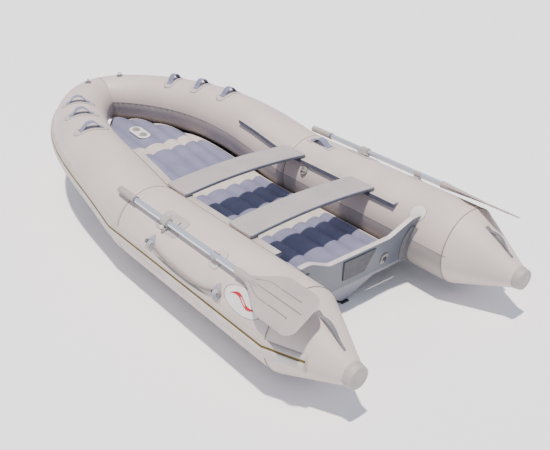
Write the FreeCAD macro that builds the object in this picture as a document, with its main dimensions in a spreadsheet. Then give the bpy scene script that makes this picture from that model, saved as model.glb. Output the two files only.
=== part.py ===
import FreeCAD, Part
import math
import operator
import os
import Sketcher
from types import SimpleNamespace
from FreeCAD import Placement, Rotation, Vector

# Inflatable dinghy with air deck, two plank seats and a pair of oars.
# Lengths are in millimetres, +X is the bow, +Y is port and +Z is up.
# Inside this file a place is given as (station, y, height): the station is measured forward from the
# seam where the side tubes meet the bow tube, and the height from the side tubes' axis.
# Port pieces are drawn, and starboard ones are their mirror images about the keel.

DIMENSIONS = [
    ("tube_radius", 225, "radius of the side tubes"),
    ("tube_spacing", 604, "side tube axis from the centreline"),
    ("tube_height", 283, "side tube axis above the keel guard's underside"),
    ("seam_x", -105.2, "seam between side and bow tubes"),
    ("side_length", 1313, "length of a side tube's cylinder"),
    ("cone_length", 335, "length of a stern cone"),
    ("cone_end_radius", 60.5, "small end of a stern cone"),
    ("cone_drop", 34, "drop of the cone's axis at its small end"),
    ("cap_length", 41, "length of a moulded end cap"),
    ("bow_tip", 1719, "station of the bow tube's axis on the centreline"),
    ("bow_thinning", 63, "loss of tube radius from the seam to the bow"),
    ("membrane", 3, "thickness of the membranes between the air chambers"),
    ("deck_thickness", 75, "air deck from the valleys between its ribs to its underside"),
    ("rib_crown", 22, "rise of a deck rib above the valleys"),
    ("keel_radius", 50, "radius of the keel tube"),
    ("transom_thickness", 25, "thickness of the transom board"),
    ("transom_station", -1064.4, "aft face of the transom at the height of the tube axis"),
    ("transom_top", 88, "motor well's edge above the tube axis, along the board"),
    ("pad_thickness", 8, "thickness of the outboard motor pad"),
    ("drain_bore", 10.9, "radius of the drain"),
    ("seat_width", 200, "seat plank, fore and aft"),
    ("seat_length", 904, "seat plank, athwart"),
    ("seat_thickness", 18, "thickness of a seat plank"),
    ("seat_crown", 25, "rise of a seat's middle above its ends"),
    ("seat_underside", 169.4, "underside of a seat's ends above the tube axis"),
    ("fore_seat_station", -141, "aft edge of the fore seat"),
    ("aft_seat_station", -745, "aft edge of the aft seat"),
    ("oar_offset", 253, "oar's axis from the side tube's axis"),
    ("oar_lean", 30.4, "lean of the rowlock outboard, in degrees"),
    ("shaft_radius", 16, "radius of an oar shaft"),
    ("shaft_wall", 1.5, "wall of an oar shaft"),
    ("grip_radius", 20.5, "radius of an oar grip"),
    ("grip_length", 180, "length of an oar grip"),
    ("rowlock_station", -385, "station of the rowlock pins"),
    ("pin_offset", 36, "rowlock pin outboard of the oar's axis"),
    ("pin_radius", 5, "radius of a rowlock pin"),
    ("clip_station", -825, "station of the oar clips"),
    ("blade_station", -1015, "end of the oar's shaft at the blade"),
    ("blade_tip", -1488, "tip of the oar's blade"),
    ("blade_width", 230, "widest part of the blade"),
    ("blade_thickness", 9, "thickness of the blade"),
    ("valve_station", -181, "station of the side chambers' valves"),
    ("valve_angle", 27, "valve above the horizontal on the tube's inner side, in degrees"),
    ("valve_radius", 30, "radius of a valve's flange"),
    ("rope_radius", 6.5, "radius of the grab rope"),
    ("patch_thickness", 2, "thickness of a glued patch"),
    ("glue_gap", 0.4, "clearance that stands for the glue under a fitting"),
]


class Size:
    """A length held both as a number and as the sheet expression that gives it."""

    OPERATORS = {"+": operator.add, "-": operator.sub, "*": operator.mul, "/": operator.truediv}

    def __init__(self, value, text=None):
        self.value = float(value)
        self.text = text or "({:.6g})".format(self.value)

    def combined(self, other, sign, swapped=False):
        other = other if isinstance(other, Size) else Size(other)
        first, second = (other, self) if swapped else (self, other)
        value = Size.OPERATORS[sign](first.value, second.value)
        return Size(value, "({} {} {})".format(first.text, sign, second.text))

    def __add__(self, other):
        return self.combined(other, "+")

    def __sub__(self, other):
        return self.combined(other, "-")

    def __mul__(self, other):
        return self.combined(other, "*")

    def __truediv__(self, other):
        return self.combined(other, "/")

    def __neg__(self):
        return self * -1

    def __radd__(self, other):
        return self.combined(other, "+", swapped=True)

    def __rsub__(self, other):
        return self.combined(other, "-", swapped=True)

    __rmul__ = __mul__


doc = FreeCAD.newDocument("inflatable_dinghy")
sheet = doc.addObject("Spreadsheet::Sheet", "Dims")
for row, (alias, value, meaning) in enumerate(DIMENSIONS, 1):
    sheet.set("A{}".format(row), meaning)
    sheet.set("B{}".format(row), str(value))
    sheet.setAlias("B{}".format(row), alias)
doc.recompute()
D = SimpleNamespace(**{alias: Size(getattr(sheet, alias), "Dims." + alias) for alias, _, _ in DIMENSIONS})
NODES = []

ALONG_X = Rotation(Vector(0, 1, 0), 90)
ALONG_Y = Rotation(Vector(1, 0, 0), -90)
UPRIGHT = Rotation()


# ---------------------------------------------------------------- helpers

def bind(obj, prop, size):
    """Bind one property to the sheet, or set it when it is a plain number."""
    if isinstance(size, Size):
        obj.setExpression(prop, size.text)
    else:
        setattr(obj, prop, size)


def place(obj, station, y, height, turn=UPRIGHT):
    """Put an object at a station, a y and a height above the tube axis."""
    obj.Placement = Placement(Vector(), turn)
    for prop, size in (("x", D.seam_x + station), ("y", Size(0) + y), ("z", D.tube_height + height)):
        obj.setExpression("Placement.Base." + prop, size.text)
    return obj


def point(station, y, height):
    """The frame's point for a station, a y and a height."""
    return Vector(D.seam_x.value + station, y, D.tube_height.value + height)


def node(obj, name):
    """Count an object as a finished piece under the name of its file."""
    obj.Label = name
    NODES.append(obj)
    return obj


def cylinder(radius, length, name="cylinder"):
    obj = doc.addObject("Part::Cylinder", name)
    bind(obj, "Radius", radius)
    bind(obj, "Height", length)
    return obj


def box(length, width, height, name="box"):
    obj = doc.addObject("Part::Box", name)
    for prop, size in (("Length", length), ("Width", width), ("Height", height)):
        bind(obj, prop, size)
    return obj


def joined(*pieces):
    fuse = doc.addObject("Part::MultiFuse", "fuse")
    fuse.Shapes = list(pieces)
    return fuse


def common(*pieces):
    both = doc.addObject("Part::MultiCommon", "common")
    both.Shapes = list(pieces)
    return both


def cut(base, tool):
    obj = doc.addObject("Part::Cut", "cut")
    obj.Base = base
    obj.Tool = tool
    return obj


def group(*pieces):
    obj = doc.addObject("Part::Compound", "group")
    obj.Links = list(pieces)
    return obj


def mirrored(source):
    """The starboard twin of a port piece."""
    obj = doc.addObject("Part::Mirroring", "mirror")
    obj.Source = source
    obj.Normal = Vector(0, 1, 0)
    return obj


def feature(shape, name="feature"):
    """A document object for a shape that the other kinds of feature don't make."""
    obj = doc.addObject("Part::Feature", name)
    obj.Shape = shape
    return obj


def both_sides(piece, name):
    """Two nodes: the port piece and its starboard twin."""
    node(piece, "port_" + name)
    return piece, node(mirrored(piece), "starboard_" + name)


def sketch_on(body, role, outline):
    """A closed sketch on one of the body's planes. The outline is a list of corners (u, v); a corner
    (u, v, "arc", mu, mv) is reached from the one before it by an arc through (mu, mv)."""
    sketch = body.newObject("Sketcher::SketchObject", "outline")
    plane = [f for f in body.Origin.OriginFeatures if f.Role == role][0]
    sketch.AttachmentSupport = [(plane, "")]
    sketch.MapMode = "FlatFace"
    number = lambda size: size.value if isinstance(size, Size) else float(size)
    ends = [Vector(number(corner[0]), number(corner[1]), 0) for corner in outline]
    for i, corner in enumerate(outline):
        start, end = ends[i - 1], ends[i]
        if len(corner) > 2:
            middle = Vector(number(corner[3]), number(corner[4]), 0)
            sketch.addGeometry(Part.Arc(start, middle, end), False)
        else:
            sketch.addGeometry(Part.LineSegment(start, end), False)
    for i, corner in enumerate(outline):
        if len(corner) > 2:
            continue
        for axis, size, spot in (("DistanceX", corner[0], ends[i].x), ("DistanceY", corner[1], ends[i].y)):
            mark = sketch.addConstraint(Sketcher.Constraint(axis, -1, 1, i, 2, spot))
            if isinstance(size, Size):
                sketch.setExpression("Constraints[{}]".format(mark), size.text)
    for i, corner in enumerate(outline):
        follower = (i + 1) % len(outline)
        if len(corner) == 2 and len(outline[follower]) == 2:
            sketch.addConstraint(Sketcher.Constraint("Coincident", i, 2, follower, 1))
    return sketch


def skin_shell(low, high):
    """The port side tube's skin as a shell between two heights above it."""
    outer = place(cylinder(D.tube_radius + high, D.side_length), -D.side_length, D.tube_spacing, 0, ALONG_X)
    inner = place(cylinder(D.tube_radius + low, D.side_length), -D.side_length, D.tube_spacing, 0, ALONG_X)
    return cut(outer, inner)


def on_skin(piece, station, angle, y=0, height=0, turn=UPRIGHT):
    """Put a piece in the port side tube's local frame: x forward, z outwards from the tube's axis at an
    angle in degrees up from the outboard side, y at right angles to both."""
    frame = Placement(point(station, D.tube_spacing.value, 0), Rotation(Vector(1, 0, 0), angle - 90))
    piece.Placement = frame * Placement(Vector(0, y, height), turn)
    return piece


def shifted(piece, x, y, z, turn=UPRIGHT):
    """A group that holds a piece at a place in a frame of its own, so that the group can be placed too."""
    piece.Placement = Placement(Vector(x, y, z), turn)
    return group(piece)


def rounded_plate(length, width, corner, depth):
    """A plate centred on Z with round corners."""
    x, y, cut_off = length / 2, width / 2, corner * (1 - math.sqrt(0.5))
    outline = [(-x + corner, -y), (x - corner, -y), (x, -y + corner, "arc", x - cut_off, -y + cut_off),
               (x, y - corner), (x - corner, y, "arc", x - cut_off, y - cut_off), (-x + corner, y),
               (-x, y - corner, "arc", -x + cut_off, y - cut_off), (-x, -y + corner),
               (-x + corner, -y, "arc", -x + cut_off, -y + cut_off)][1:]
    return padded("XY_Plane", outline, depth)


def padded(role, outline, depth):
    """A PartDesign body: one sketch padded away from its plane."""
    body = doc.addObject("PartDesign::Body", "body")
    pad = body.newObject("PartDesign::Pad", "pad")
    pad.Profile = sketch_on(body, role, outline)
    bind(pad, "Length", depth)
    return body


def turned(outline):
    """A PartDesign body: a profile of (radius, height) corners turned about the body's Z axis."""
    body = doc.addObject("PartDesign::Body", "body")
    sketch = sketch_on(body, "XZ_Plane", outline)
    spin = body.newObject("PartDesign::Revolution", "turning")
    spin.Profile = sketch
    spin.ReferenceAxis = (sketch, ["V_Axis"])
    spin.Angle = 360
    return body


# ---------------------------------------------------------------- the tube's path

# Control points of the port half of the bow tube's axis, a Bezier curve: station, y, height.
BOW_CURVE = [(62, 604, 0), (234, 594, 26), (642, 549, 176), (1073, 662, 140), (1719, 213, 144), (1719, 0, 144)]


def straight_section(station):
    """Centre, outboard and up directions and radius of the port tube at a station aft of the bow."""
    back = max(0.0, -station - D.side_length.value) / D.cone_length.value
    radius = D.tube_radius.value - back * (D.tube_radius.value - D.cone_end_radius.value)
    centre = point(station, D.tube_spacing.value, -back * D.cone_drop.value)
    return centre, Vector(0, 1, 0), Vector(0, 0, 1), radius


def bow_section(t):
    """The same on the bow curve, from 0 at its start to 1 on the centreline."""
    degree = len(BOW_CURVE) - 1
    weights = [math.comb(degree, i) * t ** i * (1 - t) ** (degree - i) for i in range(degree + 1)]
    centre = point(*[sum(w * p[axis] for w, p in zip(weights, BOW_CURVE)) for axis in range(3)])
    slopes = [math.comb(degree - 1, i) * t ** i * (1 - t) ** (degree - 1 - i) for i in range(degree)]
    ahead = Vector(*[sum(s * (BOW_CURVE[i + 1][axis] - BOW_CURVE[i][axis]) for i, s in enumerate(slopes))
                     for axis in range(3)]).normalize()
    outboard = Vector(-ahead.y, ahead.x, 0).normalize()
    radius = D.tube_radius.value - D.bow_thinning.value * t ** 1.35
    return centre, outboard, ahead.cross(outboard), radius


def on_tube(section, angle, lift):
    """A point above the tube's skin; the angle is in degrees from outboard, upwards."""
    centre, outboard, up, radius = section
    reach = radius + lift
    turn = math.radians(angle)
    return centre + outboard * (reach * math.cos(turn)) + up * (reach * math.sin(turn))


def bow_parameter(station):
    """The bow curve's parameter where its axis passes a station, by bisection."""
    low, high = 0.0, 1.0
    while high - low > 1e-6:
        middle = (low + high) / 2
        if bow_section(middle)[0].x < D.seam_x.value + station:
            low = middle
        else:
            high = middle
    return (low + high) / 2


def tube_section(station):
    """The port tube's section at any station."""
    if station <= BOW_CURVE[0][0]:
        return straight_section(station)
    return bow_section(bow_parameter(station))


def across(section):
    """The same section on the starboard side."""
    centre, outboard, up, radius = section
    flip = lambda v: Vector(v.x, -v.y, v.z)
    return flip(centre), flip(outboard), flip(up), radius


def loft(outlines):
    """A solid through closed outlines, with straight lines from one to the next."""
    solid = Part.makeLoft([Part.makePolygon(list(o) + [o[0]]) for o in outlines], True, True)
    return solid


def strip(sections, profile, middle=0):
    """A solid carried along the tube; the profile's corners are (arc along the skin, height above it),
    the arc in millimetres from the line at the middle angle, upwards from the outboard side."""
    return loft([[on_tube(s, middle + math.degrees(arc / s[3]), lift) for arc, lift in profile] for s in sections])


# ---------------------------------------------------------------- tubes

def bow_solid(lift=0):
    """The port half of the bow tube, or a copy whose skin stands a lift above it."""
    hoops = []
    aft = [straight_section(s) for s in (0, 20, 41)]
    for centre, outboard, up, radius in aft + [bow_section(i / 20) for i in range(21)]:
        centre.y = max(centre.y, D.membrane.value / 2)
        hoops.append(Part.Wire(Part.Circle(centre, outboard.cross(up), radius + lift).toShape()))
    port_half = Part.makeBox(3500, 1500, 1500, Vector(-1000, D.membrane.value / 2, -500))
    return Part.makeLoft(hoops, True, False).common(port_half)


def air_chambers():
    """Side tubes, bow halves, stern cones, end caps and the membranes between the chambers."""
    side = cylinder(D.tube_radius, D.side_length - D.membrane)
    place(side, -D.side_length, D.tube_spacing, 0, ALONG_X)
    pocket = on_skin(cylinder(24, 40), D.valve_station.value, 180 - D.valve_angle.value, 0, 199)
    both_sides(cut(side, pocket), "side_tube")

    both_sides(feature(bow_solid(), "bow_half"), "bow_tube")

    rings = []
    for back, radius in ((Size(0), D.tube_radius), (Size(1), D.cone_end_radius)):
        ring = doc.addObject("Part::Circle", "ring")
        bind(ring, "Radius", radius)
        rings.append(place(ring, -D.side_length - D.cone_length * back, D.tube_spacing, -D.cone_drop * back, ALONG_X))
    cone = doc.addObject("Part::Loft", "cone")
    cone.Sections = rings
    cone.Solid = True
    both_sides(cone, "stern_cone")

    cap = turned([(0, 0), (D.cone_end_radius + 2, 0), (D.cone_end_radius + 2, 9), (D.cone_end_radius - 1, 11),
                  (D.cone_end_radius - 3, D.cap_length - 4), (D.cone_end_radius - 7, D.cap_length), (0, D.cap_length)])
    place(cap, -D.side_length - D.cone_length, D.tube_spacing, -D.cone_drop, Rotation(Vector(0, 1, 0), -90))
    node(group(cap, mirrored(cap)), "stern_end_caps")

    side_membrane = cylinder(D.tube_radius - 2, D.membrane)
    place(side_membrane, -D.membrane, D.tube_spacing, 0, ALONG_X)
    bow_membrane = cylinder(D.tube_radius - D.bow_thinning - 2, D.membrane)
    place(bow_membrane, D.bow_tip, D.membrane / -2, BOW_CURVE[-1][2], ALONG_Y)
    node(group(side_membrane, mirrored(side_membrane), bow_membrane), "chamber_membranes")


# ---------------------------------------------------------------- deck, keel and bottom

DECK_AFT = -985
DECK_NOSE = 1560
RIB_VALLEYS = (75, 186, 296, 405)


def eased(x, start, span):
    u = min(max((x - start) / span, 0.0), 1.0)
    return u * u * (3 - 2 * u)


def deck_valley(station):
    """Height of the valleys between the deck's ribs: level aft, then rising to the bow."""
    return -85 + 112 * eased(station, 100, 1400)


def deck_underside(station):
    return deck_valley(station) - D.deck_thickness.value + 20 * eased(station, 300, 900)


def keel_line(station):
    """Underside of the keel guard: level aft, then rising to the bow tube's underside."""
    ahead = max(0.0, station - 400) / (D.bow_tip.value - 400)
    return -D.tube_height.value + 265 * ahead ** 2.2


def deck_edge_points():
    """Outline of the deck's port side in plan: its ribs' tops stay 6 mm clear of the tube's inner side."""
    points = [(DECK_AFT, 382)]
    for i in range(14):
        centre, outboard, up, radius = (straight_section(-200), bow_section(i / 14))[i > 0]
        top = deck_valley(centre.x - D.seam_x.value) + D.rib_crown.value
        depth = centre.z - D.tube_height.value - top
        inward = math.sqrt(radius ** 2 - depth ** 2) + 6
        spot = centre - outboard * inward
        if spot.x - D.seam_x.value < DECK_NOSE - 40:
            points.append((spot.x - D.seam_x.value, spot.y))
    return points


def air_deck():
    """The ribbed air deck: rib arcs carried forward over the rise, trimmed to the outline."""
    outlines = []
    for station in (DECK_AFT, -400, 100, 300, 500, 700, 900, 1100, 1300, 1450, DECK_NOSE):
        valley, under, crown = deck_valley(station), deck_underside(station), D.rib_crown.value
        marks = sorted([-v for v in RIB_VALLEYS] + list(RIB_VALLEYS))
        edges = []
        for left, right in zip(marks, marks[1:]):
            middle = point(station, (left + right) / 2, valley + crown)
            edges.append(Part.Arc(point(station, left, valley), middle, point(station, right, valley)).toShape())
        corners = [point(station, marks[-1], valley), point(station, marks[-1], under),
                   point(station, marks[0], under), point(station, marks[0], valley)]
        edges += [Part.LineSegment(a, b).toShape() for a, b in zip(corners, corners[1:])]
        outlines.append(Part.Wire(edges))
    slab = Part.makeLoft(outlines, True, True)
    half = deck_edge_points()
    rim = [Vector(D.seam_x.value + s, y, 0) for s, y in half] + [Vector(D.seam_x.value + DECK_NOSE, 30, 0)]
    port = Part.BSplineCurve()
    port.interpolate(rim[1:])
    mirror = [Vector(p.x, -p.y, 0) for p in rim[::-1]]
    starboard = Part.BSplineCurve()
    starboard.interpolate(mirror[:-1])
    wire = Part.Wire([Part.LineSegment(rim[0], rim[1]).toShape(), port.toShape(),
                      Part.LineSegment(rim[-1], mirror[0]).toShape(), starboard.toShape(),
                      Part.LineSegment(mirror[-2], mirror[-1]).toShape(),
                      Part.LineSegment(mirror[-1], rim[0]).toShape()])
    prism = Part.Face(wire).extrude(Vector(0, 0, 500))
    node(feature(slab.common(prism), "deck"), "air_deck")


def keel_tube():
    """The inflated tube between deck and bottom that makes the vee."""
    hoops = []
    for station in [-955, 400] + list(range(500, 1201, 70)):
        radius = D.keel_radius.value * (1 - 0.7 * eased(station, 500, 700))
        centre = point(station, 0, keel_line(station) + 14 + radius)
        hoops.append(Part.Wire(Part.Circle(centre, Vector(1, 0, 0), radius).toShape()))
    node(feature(Part.makeLoft(hoops, True, True), "keel"), "keel_tube")


KEEL_STATIONS = [-1000, -500, 0] + list(range(100, 1301, 60)) + [1320]


def between(pairs, station):
    """The height of a broken line through (station, value) pairs at a station."""
    for (low, start), (high, end) in zip(pairs, pairs[1:]):
        if station < high:
            return start + (end - start) * max(0.0, station - low) / (high - low)
    return pairs[-1][1]


def hull_bottom():
    """The bottom fabric: from under each tube, along the deck's underside and round the keel tube,
    trimmed to the fore face of the transom."""
    thickness = 4
    edge = deck_edge_points()
    outlines = []
    for station in KEEL_STATIONS + list(range(1370, 1611, 40)):
        centre, outboard, up, radius = tube_section(station)
        under = math.radians(44 + 44 * eased(station, 0, 900))
        inward, down = math.cos(under), math.sin(under)
        tube_y, tube_z = centre.y, centre.z - D.tube_height.value
        outer_rim = (tube_y - (radius + 7) * inward, tube_z - (radius + 7) * down)
        inner_rim = (tube_y - (radius + 3) * inward, tube_z - (radius + 3) * down)
        shelf = min(between(edge, station) + 6, 0.9 * outer_rim[0])
        floor = min(deck_underside(station) - 6, outer_rim[1] - 2)
        fold = keel_line(station) + 8
        outer = [outer_rim, (shelf, floor), (0.47 * shelf, floor - 3), (0.22 * shelf, 0.43 * floor + 0.57 * fold),
                 (min(28, 0.15 * shelf), fold)]
        inner = [inner_rim] + [(y - 1, z + thickness) for y, z in outer[1:]]
        half = outer + inner[::-1]
        whole = outer + [(-y, z) for y, z in outer[::-1]] + [(-y, z) for y, z in inner] + inner[::-1]
        outlines.append([point(station, y, z) for y, z in whole])
    aft_of_board = on_transom(shifted(box(400, 1300, 700), D.transom_thickness.value - 399.6, -650, -450))
    node(cut(feature(loft(outlines), "bottom"), aft_of_board), "hull_bottom")


def keel_guard():
    """The ribbed rubber strip under the keel."""
    ridges = (24, 12, 0, -12, -24)
    outlines = []
    for station in KEEL_STATIONS:
        low = keel_line(station)
        under = [(26, 3)] + [corner for y in ridges for corner in ((y + 2, 0), (y - 2, 0), (y - 6, 3))][:-1] + [(-26, 3)]
        corners = [(-26, 7.5), (26, 7.5)] + under
        outlines.append([point(station, y, low + z) for y, z in corners])
    node(feature(loft(outlines), "guard"), "keel_guard")


# ---------------------------------------------------------------- transom

RAKE = Rotation(Vector(0, 1, 0), -15.9)
HOLDER_DEPTH = 9
DRAIN = (-225, -60)


def on_transom(piece):
    """Put a piece drawn in the transom's own frame (x forward, z up the board) in its place."""
    return place(piece, D.transom_station, 0, 0, RAKE)


def transom():
    """The raked board with its motor well and vee foot, cut to the tubes, and the two motor plates."""
    top = D.transom_top
    corners = [(-460, -150), (-430, -170), (-184, -172), (-86, -233), (-26, -280), (26, -280), (86, -233),
               (184, -172), (430, -170), (460, -150), (460, 166), (395, 171), (345, 158, "arc", 369, 168), (232, 94),
               (200, top, "arc", 217, 89.5), (-200, top), (-232, 94, "arc", -217, 89.5), (-345, 158),
               (-395, 171, "arc", -369, 168), (-460, 166)]
    board = on_transom(padded("YZ_Plane", corners, D.transom_thickness))
    for side in (1, -1):
        space = cylinder(D.tube_radius + HOLDER_DEPTH, D.side_length)
        board = cut(board, place(space, -D.side_length, D.tube_spacing * side, 0, ALONG_X))
    hole = cylinder(D.drain_bore + 5.1, 60)
    node(cut(board, on_transom(shifted(hole, -10, *DRAIN, ALONG_X))), "transom")

    outer = padded("YZ_Plane", [(-80, -88), (80, -88), (118, 66), (-118, 66)], D.pad_thickness)
    node(on_transom(shifted(outer, -D.pad_thickness.value, 0, 0)), "outboard_motor_pad")
    inner = padded("YZ_Plane", [(-95, -40), (95, -40), (118, 62), (-118, 62)], 4)
    node(on_transom(shifted(inner, D.transom_thickness.value, 0, 0)), "inboard_motor_plate")


def transom_holders():
    """Rubber channels glued to the tubes: a foot on the skin and a cheek on each face of the board."""
    foot = common(skin_shell(D.glue_gap, 6), on_transom(shifted(box(92, 110, 261), -33, 360, -150)))
    cheeks = [common(skin_shell(5.5, 34), on_transom(shifted(box(6, 130, 261), x, 345, -150)))
              for x in (-6.5, D.transom_thickness.value + 0.5)]
    holder = joined(foot, *cheeks)
    node(group(holder, mirrored(holder)), "transom_holders")

    patch = common(skin_shell(D.glue_gap, 3), on_skin(cylinder(50, 300), -1077, 135))
    node(group(patch, mirrored(patch)), "transom_patches")


def drain():
    """The drain socket through the board and its quarter-turn plug."""
    plate = shifted(rounded_plate(72, 46, 16, 7), -7.2, *DRAIN, Rotation(Vector(0, -1, 0), -90))
    sleeve = shifted(cylinder(D.drain_bore + 5, 33), -6, *DRAIN, ALONG_X)
    bore = shifted(cylinder(D.drain_bore + 0.05, 80), -30, *DRAIN, ALONG_X)
    node(cut(joined(on_transom(plate), on_transom(sleeve)), on_transom(bore)), "drain_socket")
    head = shifted(cylinder(15, 5), -12.5, *DRAIN, ALONG_X)
    stem = shifted(cylinder(D.drain_bore, 30), -8, *DRAIN, ALONG_X)
    wing = shifted(box(8, 5, 26), -20, DRAIN[0] - 2.5, DRAIN[1] - 13)
    node(joined(*[on_transom(piece) for piece in (head, stem, wing)]), "drain_plug")


# ---------------------------------------------------------------- rails and seats

def rub_rail():
    """The rubber strake round the whole boat, from cone to cone."""
    profile = [(-34, 2.6), (-12, 2.6), (12, 2.6), (34, 2.6), (54, 2.6), (54, 4.6), (40, 13), (33, 15), (30, 12),
               (26, 12), (23, 18), (-14, 19), (-28, 15), (-34, 4)]
    port = [straight_section(s) for s in (-1500, -1400, -1313, 0)]
    port += [bow_section(i / 40) for i in range(31)] + [bow_section(i / 80) for i in range(61, 81)]
    starboard = [across(s) for s in port[-2::-1]]
    node(feature(strip(port + starboard, profile), "strake"), "rub_rail")


def seat_rails():
    """The ledges glued along the inner side of the tubes, flat on top, that the seats slide on."""
    profile = [(-153.5, 166), (-196, 166), (-196, 142), (-176, 142)]
    lean = math.radians(137)
    outlines = []
    for station in [-930, 0] + list(range(62, 523, 46)):
        centre, outboard, up, radius = tube_section(station)
        thinner = radius - D.tube_radius.value + 0.6 + min(max(station - 62, 0) / 46, 1) * 1.4
        root = centre + outboard * (thinner * math.cos(lean)) + up * (thinner * math.sin(lean))
        outlines.append([root + outboard * u + up * v for u, v in profile])
    both_sides(feature(loft(outlines).cut(bow_solid(0.8)), "rail"), "seat_rail")


def seats():
    """Arched planks, each with a runner under both ends that hooks over the rails."""
    rise = D.seat_crown
    radius = (D.seat_length * D.seat_length / 4 + rise * rise) / (rise * 2)
    for name, station in (("fore_seat", D.fore_seat_station), ("aft_seat", D.aft_seat_station)):
        arch = radius - rise
        disc = place(cylinder(radius + D.seat_thickness, D.seat_width), station, 0, D.seat_underside - arch, ALONG_X)
        hollow = place(cylinder(radius, D.seat_width + 20), station - 10, 0, D.seat_underside - arch, ALONG_X)
        trim = place(box(D.seat_width, D.seat_length, 90), station, D.seat_length / -2, D.seat_underside - 20)
        node(common(cut(disc, hollow), trim), name)
        tread = place(box(D.seat_width - 16, 45, 3.3), station + 8, 401, D.seat_underside - 2.7)
        lip = place(box(D.seat_width - 16, 6, 21), station + 8, 401, D.seat_underside - 21)
        runner = joined(tread, lip)
        node(group(runner, mirrored(runner)), name + "_runners")


# ---------------------------------------------------------------- oars and rowlocks

def oars():
    """Grip, hollow shaft, blade and collar; each oar lies along its tube, clear of the skin."""
    lean = 90 - D.oar_lean.value
    axis = D.oar_offset.value
    shoulder = D.blade_station.value
    grip_start = 110 - D.grip_length.value
    socket = 60
    bore = D.shaft_radius + 0.05

    tube = cylinder(D.shaft_radius, grip_start - shoulder + 2 * socket)
    inside = cylinder(D.shaft_radius - D.shaft_wall, grip_start - shoulder + 2 * socket + 20)
    shaft = cut(on_skin(tube, shoulder - socket, lean, 0, axis, ALONG_X),
                on_skin(inside, shoulder - socket - 10, lean, 0, axis, ALONG_X))
    both_sides(shaft, "oar_shaft")

    grip = turned([(bore, 0), (D.grip_radius - 3, 0), (D.grip_radius, 4), (D.grip_radius, D.grip_length - 7),
                   (D.grip_radius - 5, D.grip_length), (0, D.grip_length), (0, socket), (bore, socket)])
    both_sides(on_skin(grip, grip_start, lean, 0, axis, ALONG_X), "oar_grip")

    half_width = D.blade_width / 2
    outline = [(-1060, -12), (-1200, -84, "arc", -1128, -38), (-1300, -half_width), (-1430, -half_width),
               (D.blade_tip, -56, "arc", -1470, -98), (D.blade_tip, 56), (-1430, half_width, "arc", -1470, 98),
               (-1300, half_width), (-1200, 84), (-1060, 12, "arc", -1128, 38)]
    flat = on_skin(padded("XY_Plane", outline, D.blade_thickness), 0, lean, 0, axis - D.blade_thickness.value / 2)
    ferrule = turned([(0, 0), (D.shaft_radius + 5, 0), (D.shaft_radius + 5, 45), (8, 160), (4, 330), (0, 330)])
    ferrule = on_skin(ferrule, shoulder, lean, 0, axis, Rotation(Vector(0, 1, 0), -90))
    pocket = on_skin(cylinder(bore, 2 * socket), shoulder - socket, lean, 0, axis, ALONG_X)
    both_sides(cut(joined(flat, ferrule), pocket), "oar_blade")


def rowlocks():
    """Base glued to the tube, pin, knob nut, and the collar on the oar that turns on the pin."""
    lean = 90 - D.oar_lean.value
    axis, pin_y, station = D.oar_offset.value, D.pin_offset.value, D.rowlock_station.value
    ear_low = 229.5

    sleeve = on_skin(cylinder(D.shaft_radius + 8, 56), station - 28, lean, 0, axis, ALONG_X)
    trim = on_skin(box(80, 60, 60), station - 40, lean, -30, ear_low)
    ear = on_skin(box(40, 22, 8), station - 20, lean, 14, ear_low)
    tip = on_skin(cylinder(17, 8), station, lean, pin_y, ear_low)
    cheek = padded("XZ_Plane", [(-62, 0), (22, 0), (22, 17), (-8, 23), (-62, 3)], 28)
    cheek = on_skin(cheek, station, lean, -18, ear_low)
    bore = on_skin(cylinder(D.shaft_radius + 0.05, 200), station - 100, lean, 0, axis, ALONG_X)
    eye = on_skin(cylinder(D.pin_radius + 0.05, 40), station, lean, pin_y, ear_low - 10)
    collar = cut(cut(joined(common(sleeve, trim), ear, tip, cheek), bore), eye)
    both_sides(collar, "oar_collar")

    pad = common(skin_shell(D.glue_gap, 3.4), on_skin(rounded_plate(206, 124, 30, 300), -394, lean, -14, 0))
    boss = on_skin(cylinder(14, 4.4), station, lean, pin_y, 224.6)
    hole = on_skin(cylinder(D.pin_radius, 40), station, lean, pin_y, 224.5)
    both_sides(cut(joined(pad, boss), hole), "rowlock_base")

    pin = on_skin(cylinder(D.pin_radius, 27), station, lean, pin_y, 224.5)
    node(group(pin, mirrored(pin)), "rowlock_pins")

    nut = turned([(D.pin_radius + 0.05, 0), (8, 0), (10, 5), (10, 12), (7, 18), (0, 20), (0, 15),
                  (D.pin_radius + 0.05, 15)])
    both_sides(on_skin(nut, station, lean, pin_y, 238), "rowlock_nut")


def oar_clips():
    """Snap clips that hold the shafts while the oars are stowed, on glued patches."""
    lean = 90 - D.oar_lean.value
    axis, start = D.oar_offset.value, D.clip_station.value - 20
    ring = on_skin(cylinder(D.shaft_radius + 4, 40), start, lean, 0, axis, ALONG_X)
    foot = on_skin(box(40, 30, 8), start, lean, -15, 227.6)
    inside = on_skin(cylinder(D.shaft_radius + 0.3, 60), start - 10, lean, 0, axis, ALONG_X)
    mouth = on_skin(box(60, 22, 30), start - 10, lean, -11, axis + 8)
    both_sides(cut(cut(joined(ring, foot), inside), mouth), "oar_clip")
    patch = common(skin_shell(D.glue_gap, 2.4), on_skin(rounded_plate(76, 104, 14, 300), D.clip_station.value, lean))
    node(group(patch, mirrored(patch)), "clip_patches")


# ---------------------------------------------------------------- ropes, handles and patches

# The grab rope's route on the port tube: station, angle up from the outboard side, lift of its axis.
ROPE_ROUTE = [(-365.5, 25, 12), (-420, 21.9, 11), (-490, 18.9, 10.5), (-570, 16.8, 10.5), (-650, 16, 10.5),
              (-730, 16.4, 10.5), (-805, 18.2, 10.5), (-862, 21.3, 11), (-911.5, 25, 12)]
HOLDER_STATIONS = (-344, -933)
HOLDER_ANGLE = 25


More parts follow.
